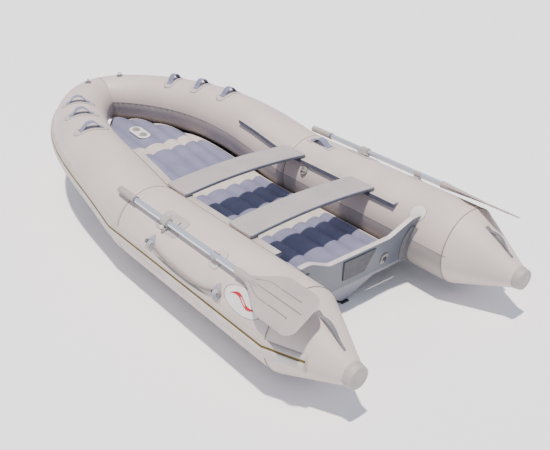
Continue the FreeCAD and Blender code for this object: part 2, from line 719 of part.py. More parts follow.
def rope_tube(points, radius):
    """A tube along straight runs joined by tangent arcs, each as large as its two runs allow."""
    edges, start = [], points[0]
    for before, corner, after in zip(points, points[1:], points[2:]):
        back, ahead = (before - corner).normalize(), (after - corner).normalize()
        half_turn = (math.pi - back.getAngle(ahead)) / 2
        reach = 0.45 * min((before - corner).Length, (after - corner).Length)
        bend = reach / math.tan(half_turn)
        inward = (back + ahead).normalize()
        first, last = corner + back * reach, corner + ahead * reach
        middle = corner + inward * (bend / math.cos(half_turn) - bend)
        edges += [Part.LineSegment(start, first).toShape(), Part.Arc(first, middle, last).toShape()]
        start = last
        print("rope bend radius {:.0f} mm".format(bend))
    edges.append(Part.LineSegment(start, points[-1]).toShape())
    path = Part.Wire(edges)
    ring = Part.Wire(Part.Circle(points[0], points[1] - points[0], radius).toShape())
    tube = path.makePipeShell([ring], True, True)
    print("rope length {:.0f} mm, volume over section times length {:.4f}".format(
        path.Length, tube.Volume / (math.pi * radius ** 2 * path.Length)))
    return tube


def grab_ropes():
    """The rope along each tube's side and the moulded holders that its ends run into."""
    holders = []
    for station in HOLDER_STATIONS:
        patch = common(skin_shell(D.glue_gap, 2.4), on_skin(rounded_plate(62, 82, 12, 300), station, HOLDER_ANGLE))
        boss = on_skin(cylinder(20, 19), station, HOLDER_ANGLE, 0, 226.5)
        holders.append(joined(patch, boss))
    node(group(*holders, *[mirrored(h) for h in holders]), "rope_holders")
    route = [on_tube(straight_section(s), angle, lift) for s, angle, lift in ROPE_ROUTE]
    both_sides(feature(rope_tube(route, D.rope_radius.value), "rope"), "grab_rope")


def valves():
    """Side chamber valves: a body let into the tube, a sprung stem and a quarter-turn cap."""
    lean = 180 - D.valve_angle.value
    station = D.valve_station.value
    body = turned([(4.05, 211), (12, 211), (12, 205), (23.8, 205), (23.8, 226), (D.valve_radius, 226),
                   (D.valve_radius, 230), (14, 230), (14, 214), (4.05, 214)])
    both_sides(on_skin(body, station, lean), "valve_body")
    stem = turned([(0, 206), (9, 206), (9, 208.5), (4, 210), (4, 225), (0, 225)])
    both_sides(on_skin(stem, station, lean), "valve_stem")
    lid = turned([(0, 226.2), (13.9, 226.2), (13.9, 230.3), (D.valve_radius - 3, 230.3), (D.valve_radius - 3, 234),
                  (D.valve_radius - 5, 236), (0, 236)])
    bar = on_skin(box(40, 7, 7), station - 20, lean, -3.5, 235)
    both_sides(joined(on_skin(lid, station, lean), bar), "valve_cap")


def deck_valve():
    """The oval plate on the deck's middle rib, with a cap for the deck and one for the keel tube."""
    station, slope = 1174, -4.9
    height = deck_valley(station) + D.rib_crown.value + 0.6
    frame = Rotation(Vector(0, 1, 0), slope)
    plate = shifted(rounded_plate(206, 100, 49.9, 5), 0, 0, 0)
    for x in (49, -49):
        plate = cut(plate, shifted(cylinder(20, 40), x, 0, -10))
    node(place(group(plate), station, 0, height, frame), "deck_valve_plate")
    for x, name in ((49, "fore"), (-49, "aft")):
        lid = turned([(0, 0.5), (19.9, 0.5), (19.9, 5.4), (28, 5.4), (28, 10), (25, 12), (0, 12)])
        bar = shifted(box(38, 8, 6), x - 19, -4, 11)
        cap = joined(shifted(lid, x, 0, 0), bar)
        node(place(group(cap), station, 0, height, frame), "deck_valve_cap_" + name)


def strap_path(half_length, foot, rise, thickness):
    """Corners of a strap seen from its edge: two flat feet and an arch between them."""
    span = half_length - foot
    arch = [(span * math.cos(math.pi * i / 10), rise * math.sin(math.pi * i / 10)) for i in range(11)]
    lower = [(half_length, 0)] + arch + [(-half_length, 0)]
    upper = [(x * (span + thickness) / span if abs(x) <= span else x, z + thickness) for x, z in lower]
    return lower + upper[::-1]


def bow_handles():
    """Three webbing handles across the tube on each side of the bow, on their patches."""
    loops, patches = [], []
    for station, foot in ((1290, 14), (1064, 14), (815, 14)):
        t = bow_parameter(station)
        step = 0.5 / bow_section(t)[0].distanceToPoint(bow_section(t + 0.0005)[0]) * 0.001
        around = lambda reach: [bow_section(t + share * reach * step) for share in (-1, 0, 1)]
        profile = [(a, lift + 2.4) for a, lift in strap_path(78, foot, 34, 3)]
        loop = feature(strip(around(22)[::2], profile, 90), "loop")
        arcs = [a * 12 for a in range(-10, 11)]
        skin = [(a, D.glue_gap.value) for a in arcs] + [(a, 2.2) for a in arcs[::-1]]
        patch = feature(strip(around(46), skin, 90), "patch")
        loops += [loop, mirrored(loop)]
        patches += [patch, mirrored(patch)]
    node(group(*loops), "bow_handles")
    node(group(*patches), "bow_handle_patches")


def other_fittings():
    """Carry handle on the starboard tube, stern handles, bow eyes and name patches."""
    strap = feature(Part.Face(Part.makePolygon([Vector(x, -20, z + 225.5) for x, z in strap_path(84, 20, 29, 3)]
                    + [Vector(84, -20, 225.5)])).extrude(Vector(0, 40, 0)), "strap")
    node(mirrored(on_skin(strap, -137, 94.6)), "starboard_carry_handle")

    arch = feature(Part.Face(Part.makePolygon([Vector(x, -15, z) for x, z in strap_path(88, 16, 28, 6)]
                   + [Vector(88, -15, 0)])).extrude(Vector(0, 30, 0)), "arch")
    place(arch, -1502, D.tube_spacing, 115, Rotation(Vector(0, 1, 0), -30.4))
    node(group(arch, mirrored(arch)), "stern_handles")

    centre, outboard, up, radius = bow_section(bow_parameter(1655))
    disc = Part.makeCylinder(24, 3, centre + up * (radius + 3.2), up)
    ring = Part.makeTorus(13, 3, centre + up * (radius + 14), outboard)
    foot = Part.makeCylinder(30, 30, centre + up * (radius - 26), up)
    eye = feature(disc.fuse(ring.cut(foot)), "eye")
    node(group(eye, mirrored(eye)), "bow_eyes")

    oval = doc.addObject("Part::Ellipse", "oval")
    oval.MajorRadius, oval.MinorRadius = 139, 61
    block = doc.addObject("Part::Extrusion", "block")
    block.Base, block.DirMode, block.Dir = oval, "Custom", Vector(0, 0, 1)
    block.LengthFwd, block.Solid = 300, True
    patch = common(skin_shell(D.glue_gap, 1.2), on_skin(block, -1111, 35.5))
    node(group(patch, mirrored(patch)), "name_patches")


# ---------------------------------------------------------------- build and write

def check_and_write():
    """Recompute, refuse anything broken, and write one file for each node."""
    doc.recompute()
    broken = [o.Name for o in doc.Objects if "Invalid" in o.State or "Error" in o.State]
    broken += [o.Label for o in NODES if o.Shape.isNull() or not o.Shape.isValid() or o.Shape.Volume <= 0]
    if broken:
        raise SystemExit("not built: " + ", ".join(broken))
    os.makedirs("parts", exist_ok=True)
    whole = FreeCAD.BoundBox()
    for obj in NODES:
        obj.Shape.exportStep(os.path.join("parts", obj.Label + ".step"))
        whole.add(obj.Shape.BoundBox)
    print("{} nodes, box {}".format(len(NODES), whole))


air_chambers()
air_deck()
keel_tube()
hull_bottom()
keel_guard()
transom()
transom_holders()
drain()
rub_rail()
seat_rails()
seats()
oars()
rowlocks()
oar_clips()
grab_ropes()
valves()
deck_valve()
bow_handles()
other_fittings()
check_and_write()
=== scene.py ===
import math
from collections import namedtuple

import bmesh
import bpy
import numpy as np
from mathutils import Euler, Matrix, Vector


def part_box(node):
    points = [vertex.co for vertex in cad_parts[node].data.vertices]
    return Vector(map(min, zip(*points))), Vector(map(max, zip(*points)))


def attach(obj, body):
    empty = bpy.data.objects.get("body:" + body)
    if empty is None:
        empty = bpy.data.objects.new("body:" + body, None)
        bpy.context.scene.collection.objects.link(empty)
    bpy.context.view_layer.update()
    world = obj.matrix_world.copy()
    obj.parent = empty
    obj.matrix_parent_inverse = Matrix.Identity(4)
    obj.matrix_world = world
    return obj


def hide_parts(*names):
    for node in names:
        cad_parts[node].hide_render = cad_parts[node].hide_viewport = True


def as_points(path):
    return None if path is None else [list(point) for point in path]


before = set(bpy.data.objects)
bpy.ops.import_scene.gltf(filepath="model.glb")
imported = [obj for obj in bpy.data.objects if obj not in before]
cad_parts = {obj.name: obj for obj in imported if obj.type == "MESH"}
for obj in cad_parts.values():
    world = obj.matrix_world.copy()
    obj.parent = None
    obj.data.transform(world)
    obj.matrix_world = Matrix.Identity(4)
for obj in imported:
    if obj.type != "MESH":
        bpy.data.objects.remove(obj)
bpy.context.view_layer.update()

# Looks of an inflatable dinghy. +X is the bow, +Y port and +Z up, all in metres.
# A place on a tube is a station, measured forward from the seam between side and bow tubes, and an
# angle in degrees from the outboard side, upwards. Port pieces are made and then mirrored.

TUBE_LOW, TUBE_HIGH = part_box("port_side_tube")
BULKHEAD = 0.003
TUBE_R = round((TUBE_HIGH.z - TUBE_LOW.z) / 2, 3)
TUBE_Y = round((TUBE_HIGH.y + TUBE_LOW.y) / 2, 3)
TUBE_Z = round((TUBE_HIGH.z + TUBE_LOW.z) / 2, 3)
SEAM_X = round(TUBE_HIGH.x + BULKHEAD, 4)
SIDE_LENGTH = 1.313
CONE_LENGTH, CONE_END_R, CONE_DROP = 0.335, 0.0605, 0.034
BOW_CURVE = np.array([(62, 604, 0), (234, 594, 26), (642, 549, 176), (1073, 662, 140), (1719, 213, 144),
                      (1719, 0, 144)]) / 1000
BOW_THINNING = 0.063
# The transom's board leans aft. It is 25 mm thick and the bottom starts 0.4 mm ahead of it. The band
# painted along its foot starts 150 mm under the tubes' axis.
RAKE = math.radians(15.9)
BOARD_STATION, BOARD_DEPTH = -1.0644, 0.0254
BAND_LEVEL = TUBE_Z * math.cos(RAKE) - (SEAM_X + BOARD_STATION) * math.sin(RAKE) - 0.150

# ------------------------------------------------------------------ camera

camera = bpy.data.objects.new("camera", bpy.data.cameras.new("camera"))
bpy.context.scene.collection.objects.link(camera)
camera.location = (SEAM_X - 3.3337, 2.4273, 2.3522)
camera.rotation_euler = Euler([math.radians(turn) for turn in (60.8642, -0.2417, -129.3107)])
camera.data.lens = 48.268
camera.data.sensor_width = 36
bpy.context.scene.camera = camera

# ------------------------------------------------------------------ material nodes


def linear(colour):
    """An sRGB hex colour as linear red, green, blue and alpha."""
    parts = [int(colour[i:i + 2], 16) / 255 for i in (1, 3, 5)]
    return [p / 12.92 if p <= 0.04045 else ((p + 0.055) / 1.055) ** 2.4 for p in parts] + [1.0]


def add(tree, kind, inputs=(), **settings):
    """Adds a node with its settings. An input is a value, or the socket that feeds it."""
    made = tree.nodes.new("ShaderNode" + kind)
    for key, value in settings.items():
        setattr(made, key, value)
    for key, value in dict(inputs).items():
        if isinstance(value, bpy.types.NodeSocket):
            tree.links.new(value, made.inputs[key])
        else:
            made.inputs[key].default_value = value
    return made


def surface_of(name, colour, shade, roughness, mottle, relief, depth, sockets=()):
    """A material whose colour drifts between two tones over the mottle size and whose relief is a grain
    of the given size and depth, all in millimetres. Roughness follows the same drift."""
    made = bpy.data.materials.new(name)
    made.use_nodes = True
    tree = made.node_tree
    shader = tree.nodes["Principled BSDF"]
    for key, value in dict(sockets).items():
        shader.inputs[key].default_value = value
    where = add(tree, "TexCoord").outputs["Object"]
    drift = add(tree, "TexNoise", {"Vector": where, "Scale": 1000 / mottle, "Detail": 4.0})
    spread = add(tree, "MapRange", {0: drift.outputs["Fac"], 1: 0.35, 2: 0.65, 3: 0.0, 4: 1.0})
    tone = add(tree, "Mix", {0: spread.outputs[0], 6: linear(colour), 7: linear(shade)}, data_type="RGBA")
    tree.links.new(tone.outputs[2], shader.inputs["Base Color"])
    rough = add(tree, "MapRange", {0: drift.outputs["Fac"], 3: roughness - 0.05, 4: roughness + 0.06})
    tree.links.new(rough.outputs[0], shader.inputs["Roughness"])
    grain = add(tree, "TexNoise", {"Vector": where, "Scale": 1000 / relief, "Detail": 3.0})
    bump = add(tree, "Bump", {"Height": grain.outputs["Fac"], "Strength": 1.0, "Distance": depth / 1000})
    tree.links.new(bump.outputs[0], shader.inputs["Normal"])
    return made


def parts_of(made):
    """The tree, the shader, the colour socket and the relief node of a material made above."""
    tree = made.node_tree
    shader = tree.nodes["Principled BSDF"]
    colour = shader.inputs["Base Color"].links[0].from_socket
    return tree, shader, colour, shader.inputs["Normal"].links[0].from_node


def banded(made, axis, spacing, depth, space="UV", rib_shade=0.0):
    """Lays a row of ribs or threads over a material's relief: sine waves with the given spacing in
    millimetres along one axis, and darkens the colour between them by the given share, as painted shade in
    the hollows."""
    tree, shader, colour, bump = parts_of(made)
    where = add(tree, "TexCoord").outputs[space]
    wave = add(tree, "TexWave", {"Vector": where, "Scale": 2 * math.pi / 20 / (spacing / 1000)},
               bands_direction=axis)
    over = add(tree, "Bump", {"Height": wave.outputs["Fac"], "Strength": 1.0, "Distance": depth / 1000,
                              "Normal": bump.outputs[0]})
    tree.links.new(over.outputs[0], shader.inputs["Normal"])
    # Painted shade: the colour darkens in the hollows between the ribs.
    if rib_shade:
        dark = add(tree, "MapRange", {0: wave.outputs["Fac"], 3: 1 - rib_shade, 4: 1.0})
        rib_shaded = add(tree, "Mix", {0: 1.0, 6: colour, 7: dark.outputs[0]}, data_type="RGBA",
                     blend_type="MULTIPLY")
        tree.links.new(rib_shaded.outputs[2], shader.inputs["Base Color"])
    return made


def two_tone(made, direction, level, colour):
    """Gives a material another colour on the side where a place's dot product with a direction is less
    than the level, in metres, with a boundary 1 mm soft."""
    tree, shader, plain = parts_of(made)[:3]
    where = add(tree, "TexCoord").outputs["Object"]
    height = add(tree, "VectorMath", {0: where, 1: direction}, operation="DOT_PRODUCT").outputs["Value"]
    above = add(tree, "MapRange", {0: height, 1: level - 0.0005, 2: level + 0.0005, 3: 0.0, 4: 1.0})
    tone = add(tree, "Mix", {0: above.outputs[0], 6: linear(colour), 7: plain}, data_type="RGBA")
    tree.links.new(tone.outputs[2], shader.inputs["Base Color"])


# ------------------------------------------------------------------ materials

# PVC-coated polyester, calendered and heat-welded: a satin skin, pale warm grey, that drifts a little in
# tone over a hand's width. Its 1 mm thread shows through as a relief drawn 5 mm apart so that it shows.
hull_fabric = surface_of("pvc_fabric_pale", "#cdbfb8", "#c4b7b1", 0.47, 260, 5, 0.05,
                         sockets={"Coat Weight": 0.08, "Coat Roughness": 0.35})
inner_fabric = surface_of("pvc_fabric_inner", "#aaa19e", "#a19895", 0.5, 220, 5, 0.06)
patch_fabric = surface_of("pvc_patch", "#cabfba", "#c2b7b3", 0.5, 120, 4, 0.05)
handle_patch_fabric = surface_of("pvc_handle_patch", "#bfb5b1", "#b6aca9", 0.52, 90, 4, 0.06)
seam_glue = surface_of("welded_seam_edge", "#8b8380", "#7f7875", 0.55, 60, 3, 0.05)
patch_rim = surface_of("pvc_patch_rim", "#8f8a8a", "#858081", 0.55, 40, 3, 0.05)
name_fabric = surface_of("pvc_name_patch", "#dcd7d5", "#d6d1cf", 0.42, 90, 4, 0.03)
wave_print = surface_of("red_screen_print", "#b3202a", "#a51b26", 0.4, 40, 2, 0.01)
# Double-wall drop-stitch fabric of the air deck: cream PVC, and lavender panels with an embossed
# non-slip grain of about 2 mm, drawn at 4 mm.
deck_cream = surface_of("deck_pvc_cream", "#cbc0b7", "#c2b8b0", 0.55, 150, 5, 0.08)
deck_lavender = surface_of("deck_nonslip_lavender", "#7a7b96", "#70718b", 0.66, 120, 4, 0.35)
bottom_fabric = surface_of("pvc_bottom_grey", "#8b8a8e", "#807f84", 0.5, 260, 5, 0.06)
# Woven polyester webbing: ribs across the strap every 2 mm and a soft sheen along its edges, with painted
# shade between the ribs.
webbing = banded(surface_of("woven_webbing", "#7f839f", "#747893", 0.8, 18, 2, 0.1,
                            sockets={"Sheen Weight": 0.25, "Sheen Roughness": 0.5}), "X", 4, 0.3, rib_shade=0.18)
thread = surface_of("sewing_thread", "#b9bac9", "#adaec0", 0.8, 10, 1.5, 0.05)
# Three-strand polyester rope, its fibres too fine to see singly, with painted shade between the diagonal ribs
# drawn on it.
rope_fibre = banded(surface_of("laid_polyester_rope", "#8f8a86", "#7d7975", 0.85, 15, 1.5, 0.12), "DIAGONAL",
                    3, 0.15, rib_shade=0.2)
# Extruded EPDM rubber strake, matt, with a slight bloom: beige, olive and pale in its own colours, and slate
# on its lower foot as painted shade, the shadow under it.
strake_top = surface_of("strake_rubber_beige", "#b9b0a9", "#afa69f", 0.62, 90, 3, 0.05)
strake_groove = surface_of("strake_rubber_olive", "#6b5a28", "#5f5024", 0.7, 60, 3, 0.05)
strake_bead = surface_of("strake_rubber_pale", "#c9c2bc", "#beb7b2", 0.55, 120, 3, 0.05)
strake_foot_shade = surface_of("strake_foot_painted_shade", "#6f7379", "#666a70", 0.65, 90, 3, 0.05)
keel_rubber = surface_of("moulded_black_rubber", "#222325", "#2b2c2e", 0.6, 60, 2, 0.08)
holder_rubber = surface_of("moulded_grey_rubber", "#77777b", "#6c6c71", 0.62, 50, 2.5, 0.08)
# Ribs every 9 mm, with painted shade between them.
holder_rubber = banded(holder_rubber, "Z", 9, 0.8, space="Object", rib_shade=0.12)
cap_rubber = surface_of("moulded_cap_rubber", "#aba49f", "#a19a95", 0.55, 60, 2.5, 0.05)
# Marine plywood, filled, sprayed with two-pack paint and nearly free of brush marks; grain ghosts through.
# The transom's faces are its slate paint darkened as painted shade, and its edges are coloured pale as a
# painted highlight where the light falls on them.
transom_slate_and_shade = surface_of("sprayed_plywood_slate_and_painted_shade", "#666c77", "#5f6570", 0.42, 180, 6, 0.05)
transom_edge_highlight = surface_of("plywood_edge_painted_highlight", "#c9c2bd", "#beb7b2", 0.42, 90, 6, 0.04)
two_tone(transom_slate_and_shade, (-math.sin(RAKE), 0, math.cos(RAKE)), BAND_LEVEL, "#8b8d98")
seat_paint = surface_of("sprayed_plywood_grey", "#aaa3a2", "#a19a9a", 0.5, 160, 3, 0.05)
# The sides of the seat planks and of the rails are coloured slate as painted shade.
slate_side_shade = surface_of("slate_painted_side_shade", "#6a6e7b", "#5f6370", 0.55, 60, 3, 0.05)
runner_plastic = surface_of("moulded_runner_blue", "#454a66", "#3c415b", 0.55, 40, 2, 0.04)
# Dark grey plastic of the drain plug; the rope holders' openings use it as painted shade.
plug_plastic_and_mouth_shade = surface_of("moulded_plug_and_painted_mouth_shade", "#5c5e66", "#53555d", 0.5, 30, 1.5, 0.04)
# Extruded PVC rail: creamy and faintly glossy; its side is coloured slate as painted shade, the shadow that
# falls on it.
rail_plastic = surface_of("extruded_pvc_rail", "#bdb5ad", "#b2aaa3", 0.42, 90, 3, 0.03)
# Glass-filled nylon and ABS mouldings, spark-eroded finish of half a millimetre.
eye_plastic = surface_of("moulded_eye_grey", "#a2a3aa", "#989aa2", 0.48, 50, 1.5, 0.04)
# Ribs every 7 mm, with painted shade between them.
motor_plastic = banded(surface_of("textured_abs_dark", "#4e5158", "#464950", 0.6, 40, 1.5, 0.1), "Z", 7, 0.5,
                       space="Object", rib_shade=0.1)
moulded_plastic = surface_of("moulded_nylon_grey", "#aaa49f", "#a19b97", 0.48, 60, 1.5, 0.04)
valve_plastic = surface_of("moulded_abs_valve", "#97938f", "#8d8985", 0.45, 40, 1.5, 0.04)
knob_plastic = surface_of("moulded_abs_white", "#dedad6", "#d5d1cd", 0.35, 40, 1.5, 0.03)
blade_plastic = surface_of("moulded_polypropylene", "#aea6a1", "#a49c98", 0.45, 140, 2, 0.05)
# The blade's moulded lines are coloured darker as painted shade.
blade_line_shade = surface_of("blade_line_painted_shade", "#7b7471", "#726b69", 0.6, 40, 2, 0.05)
base_plastic = surface_of("moulded_rowlock_base", "#b3aca8", "#a9a29e", 0.5, 60, 1.5, 0.04)
grip_plastic = surface_of("moulded_grip", "#a8a19c", "#9d9691", 0.6, 40, 1.5, 0.1)
# Drawn aluminium tube, brushed along its length and anodised clear.
shaft_metal = banded(surface_of("anodised_aluminium", "#e2e6ee", "#d9dee7", 0.36, 60, 2, 0.01,
                                sockets={"Metallic": 0.85}), "Y", 1.5, 0.02)
steel = surface_of("brushed_stainless", "#b9bbbd", "#a9abad", 0.32, 30, 1.5, 0.01, sockets={"Metallic": 1.0})

# ------------------------------------------------------------------ mesh helpers


def piece(name, points, faces, materials, body, replaces=(), indices=None, uv=None):
    """A mesh object from arrays of points and faces that rides on a body. A closed mesh whose volume
    comes out negative has its faces turned round."""
    mesh = bpy.data.meshes.new(name)
    corners = points[faces[:, :3]]
    inside_out = np.einsum("ij,ij->i", corners[:, 0], np.cross(corners[:, 1], corners[:, 2])).sum()
    if faces.shape[1] == 4:
        corners = points[faces[:, [0, 2, 3]]]
        inside_out += np.einsum("ij,ij->i", corners[:, 0], np.cross(corners[:, 1], corners[:, 2])).sum()
    if inside_out < 0:
        faces = faces[:, ::-1]
        uv = None if uv is None else uv[:, ::-1]
    lists = [list(dict.fromkeys(face)) for face in faces.tolist()]
    mesh.from_pydata(points.tolist(), [], lists)
    if uv is not None:
        layer = mesh.uv_layers.new(name="UVMap")
        flat = [uv[i, list(faces[i]).index(corner)] for i, face in enumerate(lists) for corner in face]
        layer.data.foreach_set("uv", np.array(flat, np.float32).ravel())
    materials = materials if isinstance(materials, (list, tuple)) else [materials]
    for made in materials:
        mesh.materials.append(made)
    if indices is not None:
        mesh.polygons.foreach_set("material_index", np.array(indices, np.int32))
    mesh.polygons.foreach_set("use_smooth", np.full(len(lists), True))
    mesh.validate()
    obj = bpy.data.objects.new(name, mesh)
    bpy.context.scene.collection.objects.link(obj)
    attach(obj, body)
    if replaces:
        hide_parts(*replaces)
    return obj


def steps(points, axis):
    """Distance along a grid's rows or columns, from its first line, in metres."""
    gaps = np.linalg.norm(np.diff(points, axis=axis), axis=2).mean(axis=1 - axis)
    return np.concatenate([[0], np.cumsum(gaps)])


def grid(name, points, materials, body, slot, replaces=(), bands=None, cap=0, zipped=False):
    """A closed skin from a grid of rows round which the columns close: quads between neighbours and a
    fan over each end. The UV map holds the distance along the rows and round the columns. The bands
    number the material of each column of quads, or of each quad, and cap that of the ends. A zipped
    skin has each end closed across its thickness instead."""
    rows, cols = points.shape[:2]
    i, j = np.meshgrid(np.arange(rows - 1), np.arange(cols), indexing="ij")
    after = (j + 1) % cols
    faces = np.stack([i * cols + j, i * cols + after, (i + 1) * cols + after, (i + 1) * cols + j], -1)
    round_points = np.concatenate([points, points[:, :1]], 1)
    along, about = steps(points, 0), steps(round_points, 1)
    corners = ((0, 0), (0, 1), (1, 1), (1, 0))
    uv = np.stack([np.stack([along[i + down], about[j + right]], -1) for down, right in corners], 2)
    base = (rows - 1) * cols
    if zipped:
        k = np.arange(cols // 2 - 1)
        near = np.stack([k, cols - 1 - k, cols - 2 - k, k + 1], -1)
        far = base + near[:, ::-1]
        ends = np.zeros((0, 3))
    else:
        column = np.arange(cols)
        near = np.stack([np.full(cols, rows * cols), (column + 1) % cols, column, column], -1)
        far = np.stack([np.full(cols, rows * cols + 1), base + column, base + (column + 1) % cols,
                        base + (column + 1) % cols], -1)
        ends = np.stack([points[0].mean(0), points[-1].mean(0)])
    every = np.concatenate([faces.reshape(-1, 4), near, far])
    uv = np.concatenate([uv.reshape(-1, 4, 2), np.zeros((2 * len(near), 4, 2))])
    indices = None
    if bands is not None:
        quads = np.broadcast_to(bands, (rows - 1, cols)).ravel()
        indices = np.concatenate([quads, np.full(2 * len(near), cap)])
    every_point = np.concatenate([points.reshape(-1, 3), ends])
    return piece(name, every_point, every, materials, body, replaces, indices, uv)


def both(name, points, materials, body, slot, replaces=(), **options):
    """The port piece and its starboard twin. "SIDE" in a body's or node's name stands for the side."""
    made = []
    for side, sign in (("port", 1), ("starboard", -1)):
        named = [r.replace("SIDE", side) for r in replaces]
        made.append(grid(side + "_" + name, points * np.array([1, sign, 1]), materials,
                         body.replace("SIDE", side), slot, named, **options))
    return made


def dressed(node, suffix, materials, body, bevel=0.0015, edge_normal=None):
    """A CAD node's own shape, merged and with its edges rounded. Faces square to edge_normal take the
    second material."""
    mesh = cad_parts[node].data.copy()
    mesh.name = node + suffix
    materials = materials if isinstance(materials, (list, tuple)) else [materials]
    mesh.materials.clear()
    for made in materials:
        mesh.materials.append(made)
    shape = bmesh.new()
    shape.from_mesh(mesh)
    bmesh.ops.remove_doubles(shape, verts=shape.verts, dist=2e-5)
    bmesh.ops.dissolve_limit(shape, angle_limit=math.radians(0.5), verts=shape.verts, edges=shape.edges)
    if edge_normal is not None:
        for face in shape.faces:
            face.material_index = int(abs(np.dot(face.normal, edge_normal)) < 0.5)
    for face in shape.faces:
        face.smooth = True
    shape.to_mesh(mesh)
    shape.free()
    mesh.set_sharp_from_angle(angle=math.radians(35))
    obj = bpy.data.objects.new(node + suffix, mesh)
    bpy.context.scene.collection.objects.link(obj)
    round_edges = obj.modifiers.new("round_edges", "BEVEL")
    round_edges.width = bevel
    round_edges.segments = 2
    round_edges.limit_method = "ANGLE"
    round_edges.angle_limit = math.radians(35)
    round_edges.harden_normals = True
    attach(obj, body)
    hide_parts(node)
    return obj


# ------------------------------------------------------------------ places on the tubes

Section = namedtuple("Section", "centre outboard up radius")


def straight(stations):
    """Sections of the port side tube and its stern cone: a cylinder, then a straight taper."""
    stations = np.atleast_1d(np.asarray(stations, float))
    back = np.clip((-stations - SIDE_LENGTH) / CONE_LENGTH, 0, None)
    centre = np.stack([SEAM_X + stations, np.full_like(stations, TUBE_Y), TUBE_Z - back * CONE_DROP], -1)
    flat = np.ones((len(stations), 1))
    return Section(centre, flat * (0, 1, 0), flat * (0, 0, 1), TUBE_R - back * (TUBE_R - CONE_END_R))


def bow(t):
    """Sections of the port bow tube: centres on a Bezier curve, radius falling as t to the 1.35."""
    t = np.atleast_1d(np.clip(np.asarray(t, float), 0, 1))
    degree = len(BOW_CURVE) - 1
    term = lambda n, i: math.comb(n, i) * t ** i * (1 - t) ** (n - i)
    centre = sum(term(degree, i)[:, None] * p for i, p in enumerate(BOW_CURVE)) + (SEAM_X, 0, TUBE_Z)
    ahead = sum(term(degree - 1, i)[:, None] * gap for i, gap in enumerate(np.diff(BOW_CURVE, axis=0)))
    ahead /= np.linalg.norm(ahead, axis=1)[:, None]
    outboard = np.stack([-ahead[:, 1], ahead[:, 0], np.zeros(len(t))], -1)
    outboard /= np.linalg.norm(outboard, axis=1)[:, None]
    return Section(centre, outboard, np.cross(ahead, outboard), TUBE_R - BOW_THINNING * t ** 1.35)


def together(*runs):
    """Runs of sections joined end to end."""
    return Section(*[np.concatenate(field) for field in zip(*runs)])


def mirrored(run):
    """The same run of sections on the starboard side, in the opposite order."""
    flip = np.array([1, -1, 1])
    centre, outboard, up = [field[::-1] * flip for field in run[:3]]
    return Section(centre, outboard, up, run.radius[::-1])


def skin(run, angles, lift=0.0):
    """Points at an angle and a lift over each section: centre + (radius + lift) times the direction."""
    turn = np.radians(np.asarray(angles, float)) * np.ones((len(run.radius), 1))
    reach = (run.radius[:, None] + lift) * np.ones_like(turn)
    return (run.centre[:, None] + (reach * np.cos(turn))[..., None] * run.outboard[:, None]
            + (reach * np.sin(turn))[..., None] * run.up[:, None])


def carried(run, profile, middle=0.0):
    """A profile of (arc along the skin, lift above it) carried along a run of sections."""
    arcs, lifts = np.array(profile).T
    angles = middle + np.degrees(arcs[None] / run.radius[:, None])
    return skin(run, angles, lifts[None])


BOW_T = np.linspace(0, 1, 400)
BOW_STATIONS = bow(BOW_T).centre[:, 0] - SEAM_X
BOW_RUN = np.concatenate([[0], np.cumsum(np.linalg.norm(np.diff(bow(BOW_T).centre, axis=0), axis=1))])


def on_side(station, angle):
    """A map from (along, arc, lift) at a place on the side tube to points."""
    def place(along, arc, lift):
        along, arc, lift = np.broadcast_arrays(along, arc, lift)
        run = straight(station + along.ravel())
        angles = angle + np.degrees(arc.ravel() / TUBE_R)
        return skin(run, angles[:, None], lift.ravel()[:, None]).reshape(along.shape + (3,))
    return place


def on_bow(station, angle):
    """The same map at a place on the bow tube, where along is measured on the tube's axis."""
    start = np.interp(station, BOW_STATIONS, BOW_RUN)

    def place(along, arc, lift):
        along, arc, lift = np.broadcast_arrays(along, arc, lift)
        run = bow(np.interp(start + along.ravel(), BOW_RUN, BOW_T))
        angles = angle + np.degrees(arc.ravel() / run.radius)
        return skin(run, angles[:, None], lift.ravel()[:, None]).reshape(along.shape + (3,))
    return place


def off_side(station, angle, points):
    """Points given as (forward, down round the tube, outwards from its axis) in the frame of the port
    side tube at a station and an angle."""
    points, turn = np.asarray(points, float), math.radians(angle)
    forward = points[..., :1] * (1, 0, 0)
    down = points[..., 1:2] * (0, math.sin(turn), -math.cos(turn))
    out = points[..., 2:] * (0, math.cos(turn), math.sin(turn))
    return forward + down + out + (SEAM_X + station, TUBE_Y, TUBE_Z)


def lathe(profile, segments=48, axis="z"):
    """A profile of (radius, height) turned about an axis: rows are the profile, columns the turn."""
    radius, height = np.array(profile, float).T
    turn = np.linspace(0, 2 * math.pi, segments, endpoint=False)
    ring = [radius[:, None] * np.cos(turn), radius[:, None] * np.sin(turn),
            height[:, None] * np.ones(segments)]
    order = {"z": (0, 1, 2), "x": (2, 0, 1)}[axis]
    return np.stack([ring[i] for i in order], -1)


def smooth_step(x, start, span):
    """0 before the start, 1 after the span, and 3u^2 - 2u^3 between."""
    u = np.clip((x - start) / span, 0, 1)
    return u * u * (3 - 2 * u)


def eased(low, high, count):
    """Places from low to high that lie closer together towards both ends, as a cosine."""
    return low + (high - low) * (0.5 - 0.5 * np.cos(np.linspace(0, math.pi, count)))


def rounding(from_edge, corner):
    """How far a quarter circle of the corner's radius draws a surface in, at a distance from its edge."""
    inside = np.clip(corner - from_edge, 0, corner)
    return corner - np.sqrt(corner ** 2 - inside ** 2)


# ------------------------------------------------------------------ tubes

ROUND = np.linspace(0, 360, 144, endpoint=False)
SEAM_ANGLE = 174


